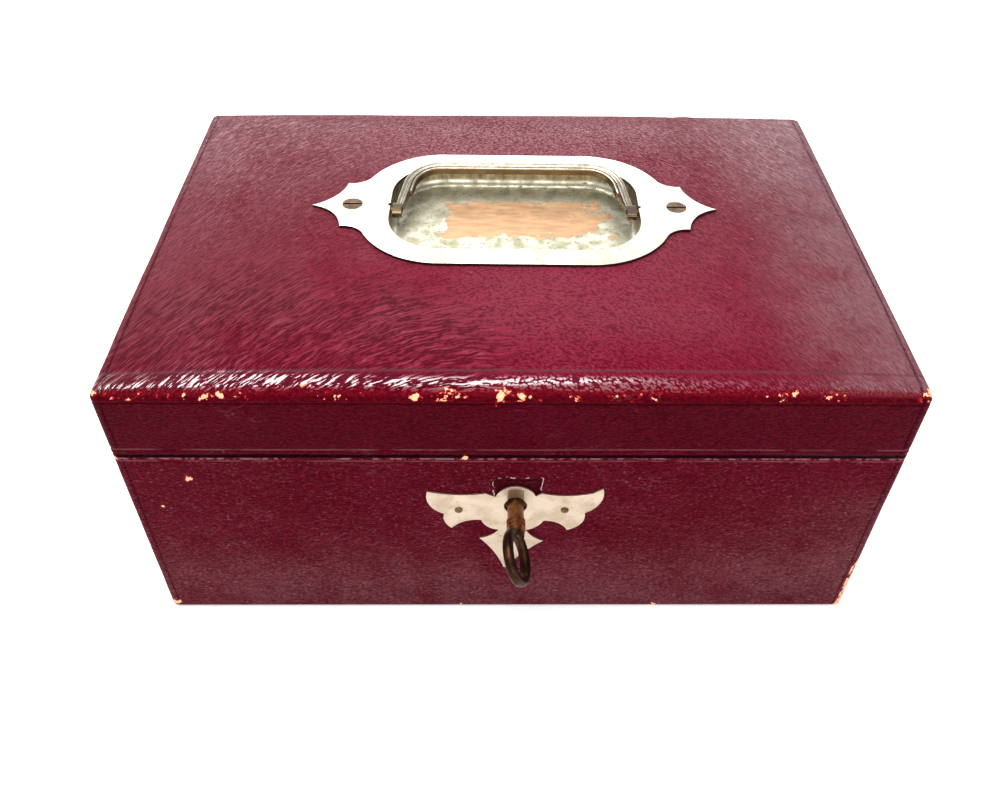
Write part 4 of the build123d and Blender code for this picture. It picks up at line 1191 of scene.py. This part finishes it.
def pillow(node, back_up, pitch, dents):
    """A pad in mesh code, the size of its node. Gives its points and how many of them are front."""
    low, high = box(node)
    middle, half = (low + high) / 2, (high - low) / 2
    half.x -= 0.35
    half.y -= 0.35
    thick = 2 * half.z
    back, front = (high.z, -1) if back_up else (low.z, 1)
    nx, ny = round(2 * half.x / pitch), round(2 * half.y / pitch)
    bm = bmesh.new()
    sheets = []
    for is_front in (True, False):
        sheet = []
        for i in range(nx + 1):
            for j in range(ny + 1):
                u, v = 2 * i / nx - 1, 2 * j / ny - 1
                x = u * half.x - u ** 9 * (1 - v * v) * 0.6
                y = v * half.y - v ** 9 * (1 - u * u) * 0.6
                z = back
                if is_front:
                    crowned = (1 - abs(u) ** 10) * (1 - abs(v) ** 10)
                    dent = dents(x, y) if dents else 0.0
                    z += front * max(thick * (0.34 + 0.36 * crowned) - dent, 0.6)
                sheet.append(bm.verts.new((middle.x + x, middle.y + y, z)))
        sheets.append(sheet)
    across = ny + 1
    for is_front, sheet in zip((True, False), sheets):
        for i in range(nx):
            for j in range(ny):
                corners = [sheet[i * across + j], sheet[(i + 1) * across + j],
                           sheet[(i + 1) * across + j + 1], sheet[i * across + j + 1]]
                bm.faces.new(corners if is_front else corners[::-1])
    rim = [i * across for i in range(nx)] + [nx * across + j for j in range(ny)]
    rim += [i * across + ny for i in range(nx, 0, -1)] + list(range(ny, 0, -1))
    for a, b in zip(rim, rim[1:] + rim[:1]):
        bm.faces.new((sheets[0][b], sheets[0][a], sheets[1][a], sheets[1][b]))
    bmesh.ops.recalc_face_normals(bm, faces=bm.faces)
    return bm, (nx + 1) * (ny + 1)


def stuffed(node, back_up, pitch, swell, dents=None, held=lambda x, y: False):
    """A pad swelled by a cloth simulation, whose front may rise by this many millimetres."""
    bm, front_count = pillow(node, back_up, pitch, dents)
    piece = as_piece(bm, node + "_cloth", node, 60)
    rest = np.array([v.co[:] for v in piece.data.vertices])
    kept = [i for i, p in enumerate(rest) if i >= front_count or held(p[0] / mm, p[1] / mm)]
    piece.vertex_groups.new(name="held").add(kept, 1.0, "REPLACE")
    cloth = piece.modifiers.new("stuffing", "CLOTH")
    cloth.settings.use_pressure = True
    cloth.settings.uniform_pressure_force = 4.0
    cloth.settings.vertex_group_mass = "held"
    cloth.settings.shrink_min = -0.02
    cloth.settings.effector_weights.gravity = 0.0
    for moment in range(1, cloth_frames + 1):
        bpy.context.scene.frame_set(moment)
    result = piece.evaluated_get(bpy.context.evaluated_depsgraph_get()).data
    moved = np.array([v.co[:] for v in result.vertices]) - rest
    most = np.array([0.5, 0.5, swell]) * mm
    moved = most * np.tanh(moved / most)
    piece.modifiers.clear()
    piece.vertex_groups.clear()
    for vert, place in zip(piece.data.vertices, rest + moved):
        vert.co = place
    bpy.context.scene.frame_set(1)
    print(node, "swelled by", round(float(abs(moved[:, 2]).max()) / mm, 1), "mm")
    return settle(piece, "SUBSURF", levels=1)


pad_high = box("lid_pad")[1]
button_high = box("lid_pad_buttons")[1]
button_radius = 3.5
row_y = button_high.y - button_radius
column_x = (button_high.x - button_radius) / 1.5
buttons = [(column_x * i, s * row_y) for s in (-1, 1) for i in (-1, 0, 1)]
buttons += [(column_x * (i - 1.5), 0.0) for i in range(4)]
creases = [(a, b) for a in buttons for b in buttons if a < b and a[1] != b[1] and math.dist(a, b) < 60]
creases += [(a, (a[0], math.copysign(pad_high.y, a[1]))) for a in buttons if a[1] != 0]
creases += [(a, (math.copysign(pad_high.x, a[0]), 0.0)) for a in buttons if abs(a[0]) > 80]


def off_line(x, y, a, b):
    """The distance from a place to the straight line between two places."""
    run = (b[0] - a[0], b[1] - a[1])
    share = ((x - a[0]) * run[0] + (y - a[1]) * run[1]) / (run[0] ** 2 + run[1] ** 2)
    share = min(1.0, max(0.0, share))
    return math.hypot(x - a[0] - share * run[0], y - a[1] - share * run[1])


def tufts(x, y):
    """How deep buttons and the creases between them pull the silk in, in millimetres."""
    button = min(math.dist((x, y), b) for b in buttons)
    crease = min(off_line(x, y, a, b) for a, b in creases)
    pleat = 0.35 * math.sin(9 * math.atan2(y, x)) * math.exp(-button / 9)
    return 3.4 * math.exp(-(button / 7.5) ** 2) + 1.3 * math.exp(-(crease / 2.4) ** 2) + pleat


def under_button(x, y):
    return min(math.dist((x, y), b) for b in buttons) < button_radius - 0.4


stuffed("lid_pad", True, 2.5, 2.0, tufts, under_button)
stuffed("floor_pad", False, 3.0, 1.4)
for side in ("back", "left", "right"):
    stuffed(f"tray_pad_{side}", False, 2.4, 0.9)
print("buttons in the lid:", len(buttons), "with", len(creases), "creases between them")

# %% [markdown]
# Small covered buttons sit in the tufts. The ring rolls are tight velvet sausages that lie side
# by side, flat underneath. The tray is lifted by two loops of ribbon, each one folded strip.

# %% Buttons, ring rolls and tabs


def make_buttons():
    bm = bmesh.new()
    steps = 28
    for x, y in buttons:
        loops = []
        for k in range(9):
            angle = math.pi / 2 * k / 8
            radius = button_radius * math.cos(angle) * (1.0 if k else 0.94)
            height = button_high.z - 0.05 - (0.5 * (k > 0) + 1.2 * math.sin(angle))
            loops.append([
                bm.verts.new((
                    x + radius * math.cos(math.tau * i / steps) * (1 + 0.012 * math.sin(7 * i)),
                    y + radius * math.sin(math.tau * i / steps) * (1 + 0.012 * math.cos(5 * i)),
                    height))
                for i in range(steps)])
        bridge(bm, loops, flip=True)
        bm.faces.new(loops[0])
    bmesh.ops.remove_doubles(bm, verts=bm.verts, dist=0.01)
    bmesh.ops.recalc_face_normals(bm, faces=bm.faces)
    made = as_piece(bm, "silk_buttons", "lid_pad_buttons", 60)


def make_ring_rolls():
    low, high = box("ring_rolls")
    count, around, along = 6, 36, 40
    pitch = (high.y - low.y + 0.8) / count
    radius = (pitch - 0.8) / 2
    floor = low.z
    bm = bmesh.new()
    for n in range(count):
        middle_y = low.y + radius + pitch * n
        loops = []
        for k in range(along + 1):
            share = 2 * k / along - 1
            end = soft(abs(share), 0.90, 1.0)
            x = share * (high.x - 0.2)
            size = radius * (1 - 0.55 * end ** 2)
            loop = []
            for i in range(around):
                angle = math.tau * i / around
                lump = 1 + 0.018 * wander(x, middle_y, 9 * math.sin(angle), 7.0, 1.7 + n)
                y = middle_y + size * math.cos(angle) * lump
                z = floor + radius + size * math.sin(angle) * lump
                loop.append(bm.verts.new((x, y, max(z, floor + 0.9))))
            loops.append(loop)
        bridge(bm, loops)
        bm.faces.new(loops[0][::-1])
        bm.faces.new(loops[-1])
    bmesh.ops.recalc_face_normals(bm, faces=bm.faces)
    made = as_piece(bm, "velvet_rolls", "ring_rolls", 60)


def make_tab(side):
    """A loop of grosgrain: up the inside of the rail, over at the top and down again."""
    low, high = box("tray_tabs")
    near, far = high.x - 0.15, high.x - 0.75
    top = high.z - 0.6
    path = [(near, low.z + 0.5 + k * (top - low.z - 0.5) / 14) for k in range(15)]
    centre, bend = (near + far) / 2, (near - far) / 2 + 0.1
    path += [(centre + bend * math.cos(a), top + bend * math.sin(a)) for a in (0.5, 1.05, 1.6, 2.1, 2.65)]
    path += [(far - 0.25 * math.sin(math.pi * k / 14), top - k * (top - low.z - 0.5) / 14) for k in range(15)]
    width = high.y - low.y
    across = 12
    bm = bmesh.new()
    rows = [[bm.verts.new((side * (x - 0.10 * math.cos(3 * i / across)), width * (i / across - 0.5), z))
             for i in range(across + 1)] for x, z in path]
    bridge(bm, rows, closed=False)
    name = "ribbon_tab_left" if side < 0 else "ribbon_tab_right"
    made = as_piece(bm, name, "tray_tabs", 60)
    settle(made, "SOLIDIFY", thickness=0.22 * mm, offset=0.0)


make_buttons()
make_ring_rolls()
for side in (-1, 1):
    make_tab(side)

# %% [markdown]
# ## Stage
# The photograph was taken on white, in soft light that comes from above and behind. A pale
# floor, a bright sky and two large lights give the same sheen on the lid's far side, and a
# third light in front fills the shade on the walls.

# %% Floor, sky and lights


def pale_floor():
    f = Finish("floor", Specular_IOR_Level=0.2, Emission_Strength=0.05)
    f.colour = f.mix(f.cloud(400.0), shade(246, 246, 245), shade(252, 252, 252))
    return f.wear(Emission_Color=f.colour, Roughness=0.8 + f.cloud(60.0) * 0.1)


half_floor = 3000.0
bm = bmesh.new()
bmesh.ops.create_grid(bm, x_segments=8, y_segments=8, size=half_floor)
floor = add("floor", as_mesh(bm, "floor"))
floor.data.materials.append(pale_floor())

world = bpy.data.worlds.new("sky")
bpy.context.scene.world = world
world.use_nodes = True
sky = world.node_tree.nodes["Background"]
sky.inputs["Color"].default_value = (1.0, 1.0, 1.0, 1.0)
sky.inputs["Strength"].default_value = 0.95


def soft_light(name, size, place, aim, power):
    data = bpy.data.lights.new(name, "AREA")
    data.shape = "RECTANGLE"
    data.size, data.size_y = size
    data.energy = power
    lamp = add(name, data)
    lamp.location = place
    lamp.rotation_mode = "QUATERNION"
    lamp.rotation_quaternion = (Vector(aim) - Vector(place)).to_track_quat("-Z", "Y")
    print("light", name, "gives", power, "W")


soft_light("overhead", (1.1, 0.9), (-0.3, 0.10, 1.25), (0, 0, 0.1), 22.0)
soft_light("rear_wall", (1.8, 0.8), (0.0, 1.5, 0.7), (0, 0, 0.1), 9.0)
soft_light("front_fill", (1.6, 0.8), (0.2, -1.6, 1.1), (0, -0.2, 0.0), 13.5)
bpy.context.scene.view_settings.view_transform = "Standard"
bpy.context.scene.view_settings.look = "None"
